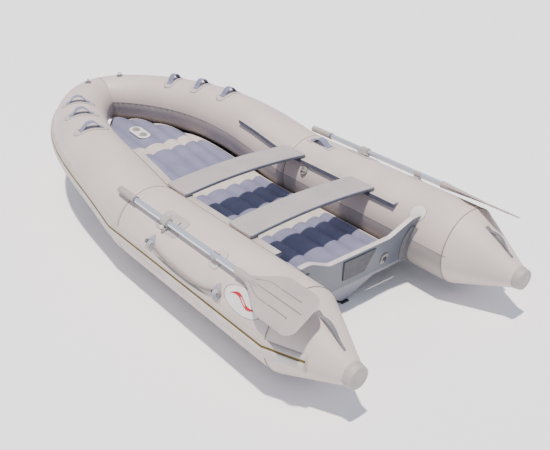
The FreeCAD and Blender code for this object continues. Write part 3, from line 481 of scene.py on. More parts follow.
def chambers():
    """Inflated tubes. Radius = the section's, less a waist of 1 mm that dies away from each welded seam
    and is puckered round it by a sine of 46 waves."""
    pucker = 0.5 * (1 + np.cos(np.radians(46 * ROUND)) * np.cos(np.radians(7 * ROUND + 40)))
    lower = np.array([SEAM_ANGLE <= a < 262 for a in ROUND]).astype(int)

    def waist(distance):
        return -0.0012 * np.exp(-distance / 0.03)[:, None] * (0.5 + pucker[None])

    stations = eased(-SIDE_LENGTH, 0, 110)
    lift = waist(-stations) + waist(stations + SIDE_LENGTH)
    cloths = [hull_fabric, inner_fabric]
    for tube in both("side_tube_skin", skin(straight(stations), ROUND, lift), cloths, "hull", "tube_fabric",
                     ["SIDE_side_tube"], bands=lower):
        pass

    run = together(straight(0), bow(np.linspace(0, 1, 150) ** 0.95))
    run.centre[:, 1] = np.maximum(run.centre[:, 1], 0.0008)
    distance = np.concatenate([[0], np.cumsum(np.linalg.norm(np.diff(run.centre, axis=0), axis=1))])
    lift = waist(distance) + waist(distance[-1] - distance)
    # The tube's inner side is the short way round the bend, so its cloth gathers in shallow folds there.
    inner = np.clip(-np.cos(np.radians(ROUND)), 0, 1) ** 3
    bend = smooth_step(distance, 0.75, 0.4)[:, None]
    gather = 1 + np.sin(distance[:, None] * 2 * math.pi / 0.062 + 0.02 * ROUND)
    lift = lift - 0.0011 * bend * inner * gather
    for tube in both("bow_tube_skin", skin(run, ROUND, lift), cloths, "hull", "tube_fabric",
                     ["SIDE_bow_tube"], bands=lower):
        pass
    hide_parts("chamber_membranes")

    back = -SIDE_LENGTH - CONE_LENGTH * np.linspace(0, 1, 50)
    lift = waist(-SIDE_LENGTH - back) * 1.2
    for cone in both("stern_cone_skin", skin(straight(back), ROUND, lift), hull_fabric, "hull", "tube_fabric",
                     ["SIDE_stern_cone"]):
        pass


SEAM_BEAD = [(-1.0, -0.3), (-0.96, 0.45), (-0.9, 0.6), (0.9, 0.6), (0.96, 0.45), (1.0, -0.3)]


def seams():
    """The edge of each welded seam, a bead 5 mm wide and 0.6 mm high along the tube or round it."""
    half = 0.0025
    along = [(a * half, lift / 1000) for a, lift in SEAM_BEAD]
    run = together(straight(np.linspace(-SIDE_LENGTH - 0.02, 0, 60)), bow(np.linspace(0, 1, 120)))
    both("long_seam", carried(run, along, SEAM_ANGLE), seam_glue, "hull", "tube_fabric")
    around = np.linspace(0, 360, 120, endpoint=False)
    for name, station in (("bulkhead_seam", 0.0), ("cone_seam", -SIDE_LENGTH)):
        ring = np.stack([skin(straight(station + a * half), around, lift / 1000)[0] for a, lift in SEAM_BEAD])
        hoop(name, ring)
    # One unit of the bow curve's parameter is 1.065 m at its end, so this share is 2.5 mm.
    rows = [skin(bow(1 - abs(a) * 0.0024), around, lift / 1000)[0] * (1, -math.copysign(1, a), 1)
            for a, lift in SEAM_BEAD]
    torus("bow_centre_seam", np.stack(rows).swapaxes(0, 1), seam_glue, "hull")


def torus(name, points, material, body):
    """A skin closed both ways: its rows and its columns both wrap."""
    rows, cols = points.shape[:2]
    i, j = np.meshgrid(np.arange(rows), np.arange(cols), indexing="ij")
    down, right = (i + 1) % rows, (j + 1) % cols
    faces = np.stack([i * cols + j, i * cols + right, down * cols + right, down * cols + j], -1)
    return piece(name, points.reshape(-1, 3), faces.reshape(-1, 4), material, body)


def hoop(name, rows):
    """A seam round a tube, given as its profile's rings, on both sides of the boat."""
    for side, sign in (("port", 1), ("starboard", -1)):
        ring = rows.swapaxes(0, 1) * np.array([1, sign, 1])
        torus(side + "_" + name, ring, seam_glue, "hull")


def end_caps():
    """Moulded cone ends: a turned cup with a raised disc on its end."""
    profile = [(62.5, 0), (62.7, 2), (62.7, 8), (61.5, 10), (60, 11), (59, 26), (57.5, 36), (55, 39.5),
               (52, 40.8), (34, 40.9), (33, 40.2), (31, 40.1), (30, 40.9), (12, 41), (2, 41)]
    cup = lathe([(r / 1000, -h / 1000) for r, h in profile], 64, "x")
    cup = cup + (SEAM_X - SIDE_LENGTH - CONE_LENGTH, TUBE_Y, TUBE_Z - CONE_DROP)
    caps = both("stern_end_cap", cup, cap_rubber, "hull", "fitting_rubber")
    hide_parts("stern_end_caps")


# ------------------------------------------------------------------ deck and bottom

DECK_AFT, DECK_NOSE = -0.985, 1.56
RIB_VALLEYS = np.array([-0.405, -0.296, -0.186, -0.075, 0.075, 0.186, 0.296, 0.405])
DECK_THICKNESS, RIB_CROWN, DECK_ROUND = 0.075, 0.022, 0.03


def deck_valley(station):
    """Height of the valleys: level aft, then a smooth rise to the bow."""
    return TUBE_Z - 0.085 + 0.112 * smooth_step(station, 0.1, 1.4)


def deck_underside(station):
    """Height of the deck's underside, which rises by 20 mm more than the valleys towards the bow."""
    return deck_valley(station) - DECK_THICKNESS + 0.02 * smooth_step(station, 0.3, 0.9)


def deck_height(station, y):
    """Top of the deck: valleys joined by parabolic crowns, all raised with the valley line."""
    gap = np.clip(np.searchsorted(RIB_VALLEYS, y) - 1, 0, len(RIB_VALLEYS) - 2)
    left, right = RIB_VALLEYS[gap], RIB_VALLEYS[gap + 1]
    share = np.clip((y - left) / (right - left), 0, 1)
    return deck_valley(station) + RIB_CROWN * (4 * share * (1 - share)) ** 0.85


def deck_edge(station):
    """Half-width of the deck: it follows the tube's inner side 6 mm clear, then closes in a round nose."""
    run = together(straight(np.linspace(-1.1, 0, 20)), bow(np.linspace(0, 1, 160)))
    heights = deck_valley(run.centre[:, 0] - SEAM_X) + RIB_CROWN
    inward = np.sqrt(run.radius ** 2 - (run.centre[:, 2] - heights) ** 2) + 0.006
    rim = run.centre - run.outboard * inward[:, None]
    ahead = rim[:, 0] - SEAM_X
    keep = np.concatenate([[True], np.diff(np.maximum.accumulate(ahead)) > 1e-6])
    width = np.interp(station, ahead[keep], rim[keep, 1])
    into_nose = np.clip(station - DECK_NOSE + 0.035, 0, None) / 0.036
    return width * np.sqrt(np.clip(1 - into_nose ** 2, 0.02, 1))


def ribbed_places():
    """Places across the deck, at each valley and closer together beside it."""
    gaps = [eased(left, right, 15)[:-1] for left, right in zip(RIB_VALLEYS, RIB_VALLEYS[1:])]
    return np.concatenate(gaps + [RIB_VALLEYS[-1:]])


def pillow(stations, half_width, top, bottom):
    """A flat closed body: each row runs over the top from starboard to port and back underneath. A row
    narrower than the places has them gathered at its edge, their distances dying away within 5 mm."""
    places = ribbed_places()[None] * np.ones((len(stations), 1))
    over = np.abs(places) - (half_width[:, None] - 0.005)
    gathered = half_width[:, None] - 0.005 * np.exp(-np.clip(over, 0, None) / 0.005)
    y = np.where(over > 0, np.sign(places) * gathered, places)
    station = stations[:, None] * np.ones_like(y)
    upper = np.stack([SEAM_X + station, y, top(station, y)], -1)
    lower = np.stack([SEAM_X + station, y, bottom(station, y)], -1)
    return np.concatenate([upper, lower[:, ::-1]], 1)


def air_deck():
    """The ribbed deck: its rim is rounded by a quarter circle of 30 mm all round."""
    stations = eased(DECK_AFT, DECK_NOSE - 0.002, 150)
    half = deck_edge(stations)

    def rim(station, y):
        side = np.interp(station, stations, half) - np.abs(y)
        end = np.minimum(station - DECK_AFT, (DECK_NOSE - station) * 0.7)
        return rounding(np.minimum(side, end), DECK_ROUND)

    body = pillow(stations, half, lambda s, y: deck_height(s, y) - rim(s, y),
                  lambda s, y: deck_underside(s) + rim(s, y))
    deck = grid("air_deck_skin", body, deck_cream, "hull", "deck_fabric", ["air_deck"], zipped=True)


def panel_edge(station):
    """Half-width of the lavender panels: a straight stretch, then narrowing with the deck."""
    return np.minimum(deck_edge(station) - 0.034, 0.366)


PANELS = ((0.976, 1.524), (0.347, 0.872), (-0.316, 0.219), (-0.962, -0.446))
PANEL_CORNER = 0.03


def deck_panels():
    """Non-slip panels 1.5 mm thick, following the ribs, with rounded corners."""
    for number, (aft, fore) in enumerate(PANELS, 1):
        stations = eased(aft, fore, 70)
        from_end = np.minimum(stations - aft, fore - stations)
        half = np.maximum(panel_edge(stations) - rounding(from_end, PANEL_CORNER), 0.002)
        body = pillow(stations, half, lambda s, y: deck_height(s, y) + 0.0015,
                      lambda s, y: deck_height(s, y) - 0.001)
        grid("deck_panel_{}".format(number), body, deck_lavender, "hull", "deck_fabric", zipped=True)


def keel_line(station):
    """Underside of the keel guard: level aft, then rising as the 2.2nd power towards the bow."""
    return TUBE_Z - 0.283 + 0.265 * (np.clip(station - 0.4, 0, None) / (1.719 - 0.4)) ** 2.2


def bottom():
    """The bottom fabric: from under each tube, along the deck's underside and round the keel tube to
    the keel guard, as a smooth curve through five places on each section. Its aft 100 mm are drawn
    onto the raked fore face of the transom."""
    stations = np.linspace(-1.0, 1.61, 130)
    run = straight(stations[stations <= 0.062])
    ahead = bow(np.interp(stations[stations > 0.062], BOW_STATIONS, BOW_T))
    run = together(run, ahead)
    under = np.radians(44 + 44 * smooth_step(stations, 0, 0.9))
    reach = run.radius + 0.006
    rim_y, rim_z = run.centre[:, 1] - reach * np.cos(under), run.centre[:, 2] - reach * np.sin(under)
    shelf = np.minimum(deck_edge(np.clip(stations, DECK_AFT, 1.5)) + 0.006, 0.9 * rim_y)
    floor = np.minimum(deck_underside(stations) - 0.006, rim_z - 0.002)
    fold = keel_line(stations) + 0.008
    corners_y = np.stack([rim_y, shelf, 0.47 * shelf, 0.22 * shelf, np.minimum(0.028, 0.15 * shelf),
                          np.zeros_like(shelf)], 1)
    corners_z = np.stack([rim_z, floor, floor - 0.003, 0.43 * floor + 0.57 * fold, fold, fold], 1)
    knots = np.linspace(0, 1, 6)
    fine = np.linspace(0, 1, 61)
    kernel = np.exp(-np.linspace(-2, 2, 9) ** 2)
    kernel /= kernel.sum()
    rows = []
    for y, z in zip(corners_y, corners_z):
        line = []
        for values in (y, z):
            dense = np.interp(fine, knots, values)
            beyond = dense[-2:-6:-1] * (1 if values is z else -1)
            longer = np.concatenate([2 * dense[0] - dense[4:0:-1], dense, beyond])
            line.append(np.convolve(longer, kernel, "valid"))
        rows.append(np.stack(line, -1))
    half = np.array(rows)
    whole = np.concatenate([half, half[:, -2::-1] * (-1, 1)], 1)
    outer = np.concatenate([np.repeat((SEAM_X + stations)[:, None, None], whole.shape[1], 1), whole], 2)
    inner = outer + (0, 0, 0.003)
    body = np.concatenate([outer, inner[:, ::-1]], 1)
    board = SEAM_X + BOARD_STATION + BOARD_DEPTH / math.cos(RAKE) - (body[..., 2] - TUBE_Z) * math.tan(RAKE)
    start = SEAM_X + stations[0]
    body[..., 0] += (board - start) * np.clip(1 - (body[..., 0] - start) / 0.1, 0, 1)
    made = grid("bottom_fabric_skin", body, bottom_fabric, "hull", "bottom_fabric",
                ["hull_bottom", "keel_tube"])


# ------------------------------------------------------------------ strake

def strake():
    """The rubber strake round the boat: a flat sloping top band, a groove, a round bead and a foot."""
    profile = [(-34, -0.5), (-34, 4), (-31.5, 10), (-28, 14.4), (-24, 16.6), (-18, 18.2), (-8, 18.9),
               (4, 19), (13, 18.6), (18, 17.6), (20.5, 15.5), (21.5, 12.2), (26, 11.6), (31, 12.2),
               (32, 14.4), (34.5, 14.8), (41, 12.8), (50, 6.6), (54, 3.2), (55, -0.5)]
    # Band 3, the strake's lower foot and its underside, is painted shade.
    bands = [3, 3, 3, 2, 2, 2, 2, 2, 2, 2, 1, 1, 1, 0, 0, 0, 0, 0, 0, 3]
    port = together(straight(np.linspace(-1.5, 0, 90)), bow(np.linspace(0, 1, 140)))
    whole = together(port, mirrored(Section(*[field[:-1] for field in port])))
    points = carried(whole, [(a / 1000, lift / 1000) for a, lift in profile])
    grid("strake", points, [strake_top, strake_groove, strake_bead, strake_foot_shade], "hull", "strake_rubber",
         ["rub_rail"], bands=bands)


# ------------------------------------------------------------------ seats

SEAT_WIDTH, SEAT_LENGTH, SEAT_THICKNESS, SEAT_CROWN, SEAT_CORNER = 0.2, 0.904, 0.018, 0.025, 0.012


def rounded_rectangle(x, z, corner, count=5):
    """Corners of a rectangle's outline as quarter circles, anticlockwise."""
    turn = np.linspace(0, math.pi / 2, count)
    quarter = np.stack([np.cos(turn), np.sin(turn)], -1) * corner
    out = []
    for quadrant, (sx, sz) in enumerate(((1, 1), (-1, 1), (-1, -1), (1, -1))):
        c, s = math.cos(quadrant * math.pi / 2), math.sin(quadrant * math.pi / 2)
        turned = quarter @ np.array([[c, s], [-s, c]])
        out.append(turned + ((x - corner) * sx, (z - corner) * sz))
    return np.concatenate(out)


def seats():
    """Arched planks: a rounded rectangle carried over a parabola, with round corners in plan."""
    outline = rounded_rectangle(SEAT_WIDTH / 2, SEAT_THICKNESS / 2, 0.004)
    count = len(outline) // 4
    flat = np.isin(np.arange(len(outline)), [count - 1, 3 * count - 1])
    for name in ("fore_seat", "aft_seat"):
        low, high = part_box(name)
        middle_x, underside = (low.x + high.x) / 2, low.z
        y = SEAT_LENGTH / 2 * np.sin(np.linspace(-math.pi / 2, math.pi / 2, 90))
        wide = 1 - rounding(SEAT_LENGTH / 2 - np.abs(y), SEAT_CORNER) / (SEAT_WIDTH / 2)
        height = underside + SEAT_CROWN * (1 - (2 * y / SEAT_LENGTH) ** 2) + SEAT_THICKNESS / 2
        points = np.stack([middle_x + outline[None, :, 0] * wide[:, None],
                           y[:, None] * np.ones(len(outline)), height[:, None] + outline[None, :, 1]], -1)
        # The planks' sides and rounded edges are painted shade; their top, underside and ends take the paint.
        grid(name + "_plank", points, [slate_side_shade, seat_paint], name, "seat_paint", [name],
             bands=flat.astype(int), cap=1)
        dressed(name + "_runners", "_moulded", runner_plastic, name, 0.0006)


# ------------------------------------------------------------------ oars

OAR_ANGLE, OAR_AXIS, ROWLOCK_STATION, PIN_OFFSET = 59.6, 0.253, -0.385, 0.036
BLADE_NECK, BLADE_TIP = 0.021, -1.488


def along_oar(points):
    """Points drawn about the oar's axis, x forward from the bow seam, put beside the tube."""
    return off_side(0, OAR_ANGLE, np.asarray(points) + (0, 0, OAR_AXIS))


def oars():
    """Shafts, ribbed grips, blades and the fittings that hold them, turned or lofted."""
    shaft = lathe([(0.0157, -1.03), (0.016, -1.02), (0.016, -0.08), (0.0157, -0.07)], 40, "x")
    both("oar_shaft_tube", along_oar(shaft), shaft_metal, "SIDE_oar", "oar_aluminium", ["SIDE_oar_shaft"])

    x = np.linspace(-0.070, 0.110, 160)
    rib = 0.0014 * np.abs(np.sin(math.pi * (x + 0.070) / 0.0115))
    radius = 0.0188 + rib
    radius *= np.sqrt(np.clip(1 - (np.clip(x - 0.098, 0, None) / 0.0121) ** 2, 0.02, 1))
    both("oar_grip_ribbed", along_oar(lathe(np.stack([radius, x], -1), 48, "x")), grip_plastic, "SIDE_oar",
         "oar_plastic", ["SIDE_oar_grip"])
    ring = [(0.0165, -0.0795), (0.0205, -0.079), (0.0208, -0.077), (0.0208, -0.071), (0.0205, -0.0692),
            (0.0165, -0.069)]
    both("oar_grip_ring", along_oar(lathe(ring, 48, "x")), holder_rubber, "SIDE_oar", "oar_plastic")
    blade, lines = blade_points()
    both("oar_blade_moulded", along_oar(blade), [blade_plastic, blade_line_shade], "SIDE_oar", "oar_plastic",
         ["SIDE_oar_blade"], bands=lines)

    knob = [(2, 0), (7.5, 0), (9.2, 1.2), (10, 4), (10, 11), (9.2, 15.4), (7, 18.6), (4, 19.8), (1, 20)]
    knob = lathe([(r / 1000, h / 1000 + 0.238) for r, h in knob], 40) + (0, PIN_OFFSET, 0)
    both("rowlock_knob", off_side(ROWLOCK_STATION, OAR_ANGLE, knob), knob_plastic, "SIDE_nut",
         "moulded_grey", ["SIDE_rowlock_nut"])
    for side in ("port", "starboard"):
        dressed(side + "_oar_collar", "_moulded", moulded_plastic, side + "_oar", 0.002)
        dressed(side + "_rowlock_base", "_moulded", base_plastic, "hull", 0.0012)
        dressed(side + "_oar_clip", "_moulded", moulded_plastic, "hull", 0.0012)


def blade_points():
    """The blade: a thin oval section whose half-width grows from the neck, holds, and rounds the corners
    of a straight tip. A cone carries the neck into it, its radius falling from 21 to 3 mm, and three
    moulded lines stand 1 mm above each face, each a Gaussian 3 mm wide with a round end. The lines are
    coloured darker as painted shade."""
    x = np.linspace(-1.0, BLADE_TIP + 0.001, 190)
    grow = smooth_step(-x, 1.06, 0.22)
    close = np.clip((x - BLADE_TIP) / 0.06, 0, 1)
    half = (BLADE_NECK + (0.115 - BLADE_NECK) * grow) * (0.52 + 0.48 * np.sqrt(1 - (1 - close) ** 2))
    turn = np.linspace(0, 2 * math.pi, 240, endpoint=False)
    across = np.sign(np.cos(turn)) * np.abs(np.cos(turn)) ** 0.8
    blunt = np.sign(np.sin(turn)) * np.abs(np.sin(turn)) ** 0.5
    y = half[:, None] * across
    edge = np.sqrt(np.clip((x - BLADE_TIP) / 0.006, 0.1, 1))[:, None]
    cone = np.interp(-x, [1.0, 1.05, 1.19, 1.35], [BLADE_NECK, 0.019, 0.009, 0.003])[:, None]
    round_part = np.sqrt(np.clip(cone ** 2 - y ** 2, 0, None)) * (1 - smooth_step(-x, 1.33, 0.03))[:, None]
    z = np.maximum(0.0045 * edge * np.abs(blunt), round_part)
    # Painted shade: the moulded lines and their ends are coloured darker, for the shade of their creases.
    shaded_line_mask = np.zeros_like(y, bool)
    for aside, end in ((0.0, -1.445), (0.047, -1.40), (-0.047, -1.40)):
        middle = aside * smooth_step(-x, 1.05, 0.17)[:, None]
        shown = (smooth_step(-x, 1.10, 0.05) * (1 - smooth_step(-x, -end, 0.006)))[:, None]
        from_end = np.hypot(y - aside, x[:, None] - end)
        z = z + 0.001 * shown * np.exp(-((y - middle) / 0.0024) ** 2)
        z = z + 0.0012 * np.exp(-(from_end / 0.0045) ** 2)
        shaded_line_mask |= (shown > 0.3) & (np.abs(y - middle) < 0.0021) | (from_end < 0.005)
    z *= np.sign(np.round(np.sin(turn), 9))
    return np.stack([x[:, None] * np.ones_like(y), y, z], -1), shaded_line_mask[:-1].astype(int)


# ------------------------------------------------------------------ patches

# Where the fittings are: a station, or a station and an angle.
NAME_PATCH, TIP_PATCH, CLIP_STATION = (-1.111, 35.5), (-1.077, 135), -0.825
CARRY_STATION, CARRY_ANGLE, STERN_HANDLE = -0.137, 94.6, (-1.505, 90)
HANDLE_STATIONS = (1.290, 1.064, 0.815)
PATCH_RINGS = 14


def glued_patch(place, half_along, half_arc, power, lift):
    """A thin patch on a tube: a superellipse |x/a|^p + |y/b|^p = 1 drawn as rings from its middle to its
    rim, over the rim's rounded edge and back underneath."""
    turn = np.linspace(0, 2 * math.pi, 72, endpoint=False)
    reach = (np.abs(np.cos(turn)) ** power + np.abs(np.sin(turn)) ** power) ** (-1 / power)
    flat = np.full(PATCH_RINGS, 1.0)
    share = np.concatenate([np.linspace(0.06, 0.95, PATCH_RINGS), [0.985, 1.0, 0.997],
                            np.linspace(0.98, 0.06, PATCH_RINGS)])
    height = np.concatenate([flat * lift, [lift * 0.92, lift * 0.4, -0.0003], flat * -0.0005])
    along = share[:, None] * reach * np.cos(turn) * half_along
    arc = share[:, None] * reach * np.sin(turn) * half_arc
    return place(along, arc, height[:, None] * np.ones_like(arc))


def cut_rim(patch):
    """The materials of a glued patch's rings: the second one from its rounded edge to its underside."""
    ring = np.arange(len(patch) - 1)
    return ((ring >= PATCH_RINGS - 1) & (ring < PATCH_RINGS + 3)).astype(int)[:, None]


def stuck(name, place, half_along, half_arc, power, lift, fabric, replaces=None, sides=2):
    """A glued patch with a darker cut rim, on both sides of the boat or on the starboard side only."""
    points = glued_patch(place, half_along, half_arc, power, lift)
    rim = cut_rim(points)
    if sides == 2:
        made = both(name, points, [fabric, patch_rim], "hull", "patch_fabric", bands=rim)[0]
    else:
        made = grid(name, points * (1, -1, 1), [fabric, patch_rim], "hull", "patch_fabric", bands=rim)
    if replaces:
        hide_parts(replaces)


def patches():
    """Patches under the fittings, the oval of the mark and the round ones at the transom's tips."""
    stuck("name_patch_oval", on_side(*NAME_PATCH), 0.139, 0.061, 2, 0.0014, name_fabric, "name_patches")
    stuck("transom_tip_patch", on_side(*TIP_PATCH), 0.05, 0.05, 2, 0.003, name_fabric, "transom_patches")
    stuck("clip_patch_square", on_side(CLIP_STATION, OAR_ANGLE), 0.038, 0.052, 5, 0.0026, patch_fabric,
          "clip_patches")
    for number, station in enumerate(HANDLE_STATIONS, 1):
        stuck("bow_handle_patch_{}".format(number), on_bow(station, 90), 0.046, 0.12, 3.2, 0.0022,
              handle_patch_fabric, "bow_handle_patches")
    wave_mark()


def wave_mark():
    """A plain wave printed on the oval patch: a ribbon on a sine, widest in its middle."""
    along = np.linspace(-0.095, 0.095, 60)
    width = 0.0105 * np.cos(along / 0.095 * math.pi / 2) ** 0.7 + 0.0004
    middle = 0.016 * np.sin(along / 0.095 * math.pi) + 0.002
    edges = [(-1, 0.0008), (-0.9, 0.0016), (0.9, 0.0016), (1, 0.0008)]
    place = on_side(*NAME_PATCH)
    points = np.stack([place(along, middle + side * width, lift) for side, lift in edges], 1)
    both("name_patch_wave", points, wave_print, "hull", "patch_fabric")


# ------------------------------------------------------------------ handles

def band(place, path, half_width, thickness, across):
    """A strap whose line is a path of (distance, lift) on a tube, with a rounded flat section. It runs
    round the tube where across is true and along it where it isn't."""
    distance, lift = np.array(path).T
    slope = np.stack([np.gradient(distance), np.gradient(lift)], -1)
    slope /= np.linalg.norm(slope, axis=1)[:, None]
    outline = rounded_rectangle(half_width, thickness / 2, thickness * 0.45, 4)
    wide = outline[:, 0][None] * np.ones((len(path), 1))
    run = distance[:, None] - outline[:, 1][None] * slope[:, 1:]
    rise = lift[:, None] + outline[:, 1][None] * slope[:, :1]
    return place(wide, run, rise) if across else place(run, wide, rise)


def arch_path(half, foot, rise, base):
    """A strap's line: a flat foot at each end, and between them a bell that rises as a raised cosine."""
    distance = np.linspace(-half, half, 44)
    span = half - foot
    share = np.clip(np.abs(distance) / span, 0, 1)
    return np.stack([distance, base + rise * (0.5 + 0.5 * np.cos(math.pi * share ** 1.25))], -1)


def stitches(name, place, rows, across, lift, signs=(1, -1)):
    """Sewn stitches: each a small raised lozenge 3.4 mm long with eight faces."""
    points, faces = [], []
    long_half, thin_half = 0.0017, 0.0006
    corners = np.array([(0, 3, 4), (3, 2, 4), (2, 1, 4), (1, 0, 4),
                        (0, 1, 5), (1, 2, 5), (2, 3, 5), (3, 0, 5)])
    for distance, offset, turned in rows:
        shape = np.array([(-long_half, 0, 0), (0, thin_half, 0), (long_half, 0, 0), (0, -thin_half, 0),
                          (0, 0, 0.0009), (0, 0, -0.0006)])
        shape = shape[:, [1, 0, 2]] if turned else shape
        along, arc = distance + shape[:, 0], offset + shape[:, 1]
        along, arc = (arc, along) if across else (along, arc)
        faces.append(corners + len(points) * 6)
        points.append(place(along, arc, lift + shape[:, 2]))
    for sign in signs:
        side = "port_" if sign > 0 else "starboard_"
        piece(side + name, np.concatenate(points) * (1, sign, 1), np.concatenate(faces), thread, "hull")


def sewn_box(middle, half_long, half_wide):
    """Places of the stitches of a sewn rectangle with its length along the strap, 5.5 mm apart."""
    pitch = 0.0055
    rows = []
    for x in np.arange(-half_long, half_long + 1e-6, pitch):
        rows += [(middle + x, half_wide, False), (middle + x, -half_wide, False)]
    for y in np.arange(-half_wide + pitch, half_wide - pitch / 2, pitch):
        rows += [(middle + half_long, y, True), (middle - half_long, y, True)]
    return rows


def handles():
    """Webbing handles over the bow, the starboard carry handle and the moulded stern handles."""
    for number, station in enumerate(HANDLE_STATIONS, 1):
        place = on_bow(station, 90)
        strap = band(place, arch_path(0.079, 0.014, 0.034, 0.0038), 0.021, 0.003, True)
        loops = both("bow_handle_{}".format(number), strap, webbing, "hull", "webbing")
        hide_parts("bow_handles")
        rows = sewn_box(-0.072, 0.005, 0.0165) + sewn_box(0.072, 0.005, 0.0165)
        stitches("bow_handle_stitches_{}".format(number), place, rows, True, 0.0054)
    place = on_side(CARRY_STATION, CARRY_ANGLE)
    carry = band(place, arch_path(0.085, 0.02, 0.03, 0.0045), 0.02, 0.003, False)
    grid("starboard_carry_handle_strap", carry * (1, -1, 1), webbing, "hull", "webbing",
         ["starboard_carry_handle"])
    rows = sewn_box(-0.075, 0.0075, 0.0155) + sewn_box(0.075, 0.0075, 0.0155)
    stitches("carry_handle_stitches", place, rows, False, 0.0061, signs=(-1,))
    for number, along in enumerate((-0.076, 0.076), 1):
        stuck("starboard_carry_handle_pad_{}".format(number), on_side(CARRY_STATION + along, CARRY_ANGLE),
              0.034, 0.034, 4, 0.0026, handle_patch_fabric, sides=1)
    stern = band(on_side(*STERN_HANDLE), arch_path(0.09, 0.022, 0.026, 0.003), 0.015, 0.006, False)
    made = both("stern_handle_moulded", stern, holder_rubber, "hull", "fitting_rubber")
    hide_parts("stern_handles")


# ------------------------------------------------------------------ rope

# Stations, angles and lifts of the rope's route over the tube, as the CAD route has them.
ROPE_ROUTE = [(-365.5, 25, 12), (-420, 21.9, 11), (-490, 18.9, 10.5), (-570, 16.8, 10.5), (-650, 16, 10.5),
              (-730, 16.4, 10.5), (-805, 18.2, 10.5), (-862, 21.3, 11), (-911.5, 25, 12)]
ROPE_R, ROPE_LENGTH = 0.0065, 0.553
HOLDER_STATIONS, HOLDER_ANGLE = (-0.344, -0.933), 25


def spline_points(points):
    """The smooth NURBS line that has these points as its control points."""
    curve = bpy.data.curves.new("route", "CURVE")
    curve.dimensions = "3D"
    curve.resolution_u = 24
    spline = curve.splines.new("NURBS")
    spline.points.add(len(points) - 1)
    for spot, place in zip(spline.points, points):
        spot.co = (*place, 1)
    spline.order_u = 3
    spline.use_endpoint_u = True
    carrier = bpy.data.objects.new("route", curve)
    bpy.context.scene.collection.objects.link(carrier)
    line = bpy.data.meshes.new_from_object(carrier)
    read = np.zeros(len(line.vertices) * 3)
    line.vertices.foreach_get("co", read)
    bpy.data.objects.remove(carrier)
    bpy.data.meshes.remove(line)
    return read.reshape(-1, 3)


def strand_tube(path, radius, lay):
    """A three-strand rope: its radius swells three times round and the swell turns once each lay."""
    distance = np.concatenate([[0], np.cumsum(np.linalg.norm(np.diff(path, axis=0), axis=1))])
    even = np.linspace(0, distance[-1], int(distance[-1] / 0.0022))
    line = np.stack([np.interp(even, distance, path[:, i]) for i in range(3)], -1)
    ahead = np.gradient(line, axis=0)
    ahead /= np.linalg.norm(ahead, axis=1)[:, None]
    side = np.cross(ahead, (0, 0, 1))
    side /= np.linalg.norm(side, axis=1)[:, None]
    over = np.cross(side, ahead)
    turn = np.linspace(0, 2 * math.pi, 30, endpoint=False)
    phase = turn[None] * 1.5 - even[:, None] * 2 * math.pi * 1.5 / lay
    reach = radius * (0.78 + 0.22 * np.abs(np.cos(phase)))
    return line, (line[:, None] + (reach * np.cos(turn))[..., None] * side[:, None]
                  + (reach * np.sin(turn))[..., None] * over[:, None])


def ropes():
    """The grab ropes, stopped by a knot behind each of the moulded holders that they run through."""
    turn = np.linspace(0, 2 * math.pi, 120, endpoint=False)
    trefoil = 0.0033 * np.stack([np.sin(turn) + 2 * np.sin(2 * turn), np.cos(turn) - 2 * np.cos(2 * turn),
                                 -1.3 * np.sin(3 * turn)], -1)
    for side, sign in (("port", 1), ("starboard", -1)):
        flip = (1, sign, 1)
        for number, station in ((1, HOLDER_STATIONS[0] + 0.031), (2, HOLDER_STATIONS[1] - 0.031)):
            knot = off_side(station, HOLDER_ANGLE, tube_round(trefoil, 0.0046, 14) + (0, 0, TUBE_R + 0.0115))
            torus("{}_rope_knot_{}".format(side, number), knot * flip, rope_fibre, "hull")
        route = np.array([on_side(s / 1000, angle)(0.0, 0.0, lift / 1000) for s, angle, lift in ROPE_ROUTE])
        line, strands = strand_tube(spline_points(route * flip), ROPE_R, 0.045)
        rope = grid(side + "_grab_rope_laid", strands, rope_fibre, "hull", "rope", [side + "_grab_rope"])
        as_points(line)
    rope_holders()


def tube_round(path, radius, columns):
    """A tube round a closed path, each ring square to it."""
    ahead = np.roll(path, -1, 0) - np.roll(path, 1, 0)
    ahead /= np.linalg.norm(ahead, axis=1)[:, None]
    side = np.cross(ahead, (0, 0, 1))
    side /= np.linalg.norm(side, axis=1)[:, None]
    over = np.cross(side, ahead)
    turn = np.linspace(0, 2 * math.pi, columns, endpoint=False)[None, :, None]
    return path[:, None] + radius * (np.cos(turn) * side[:, None] + np.sin(turn) * over[:, None])


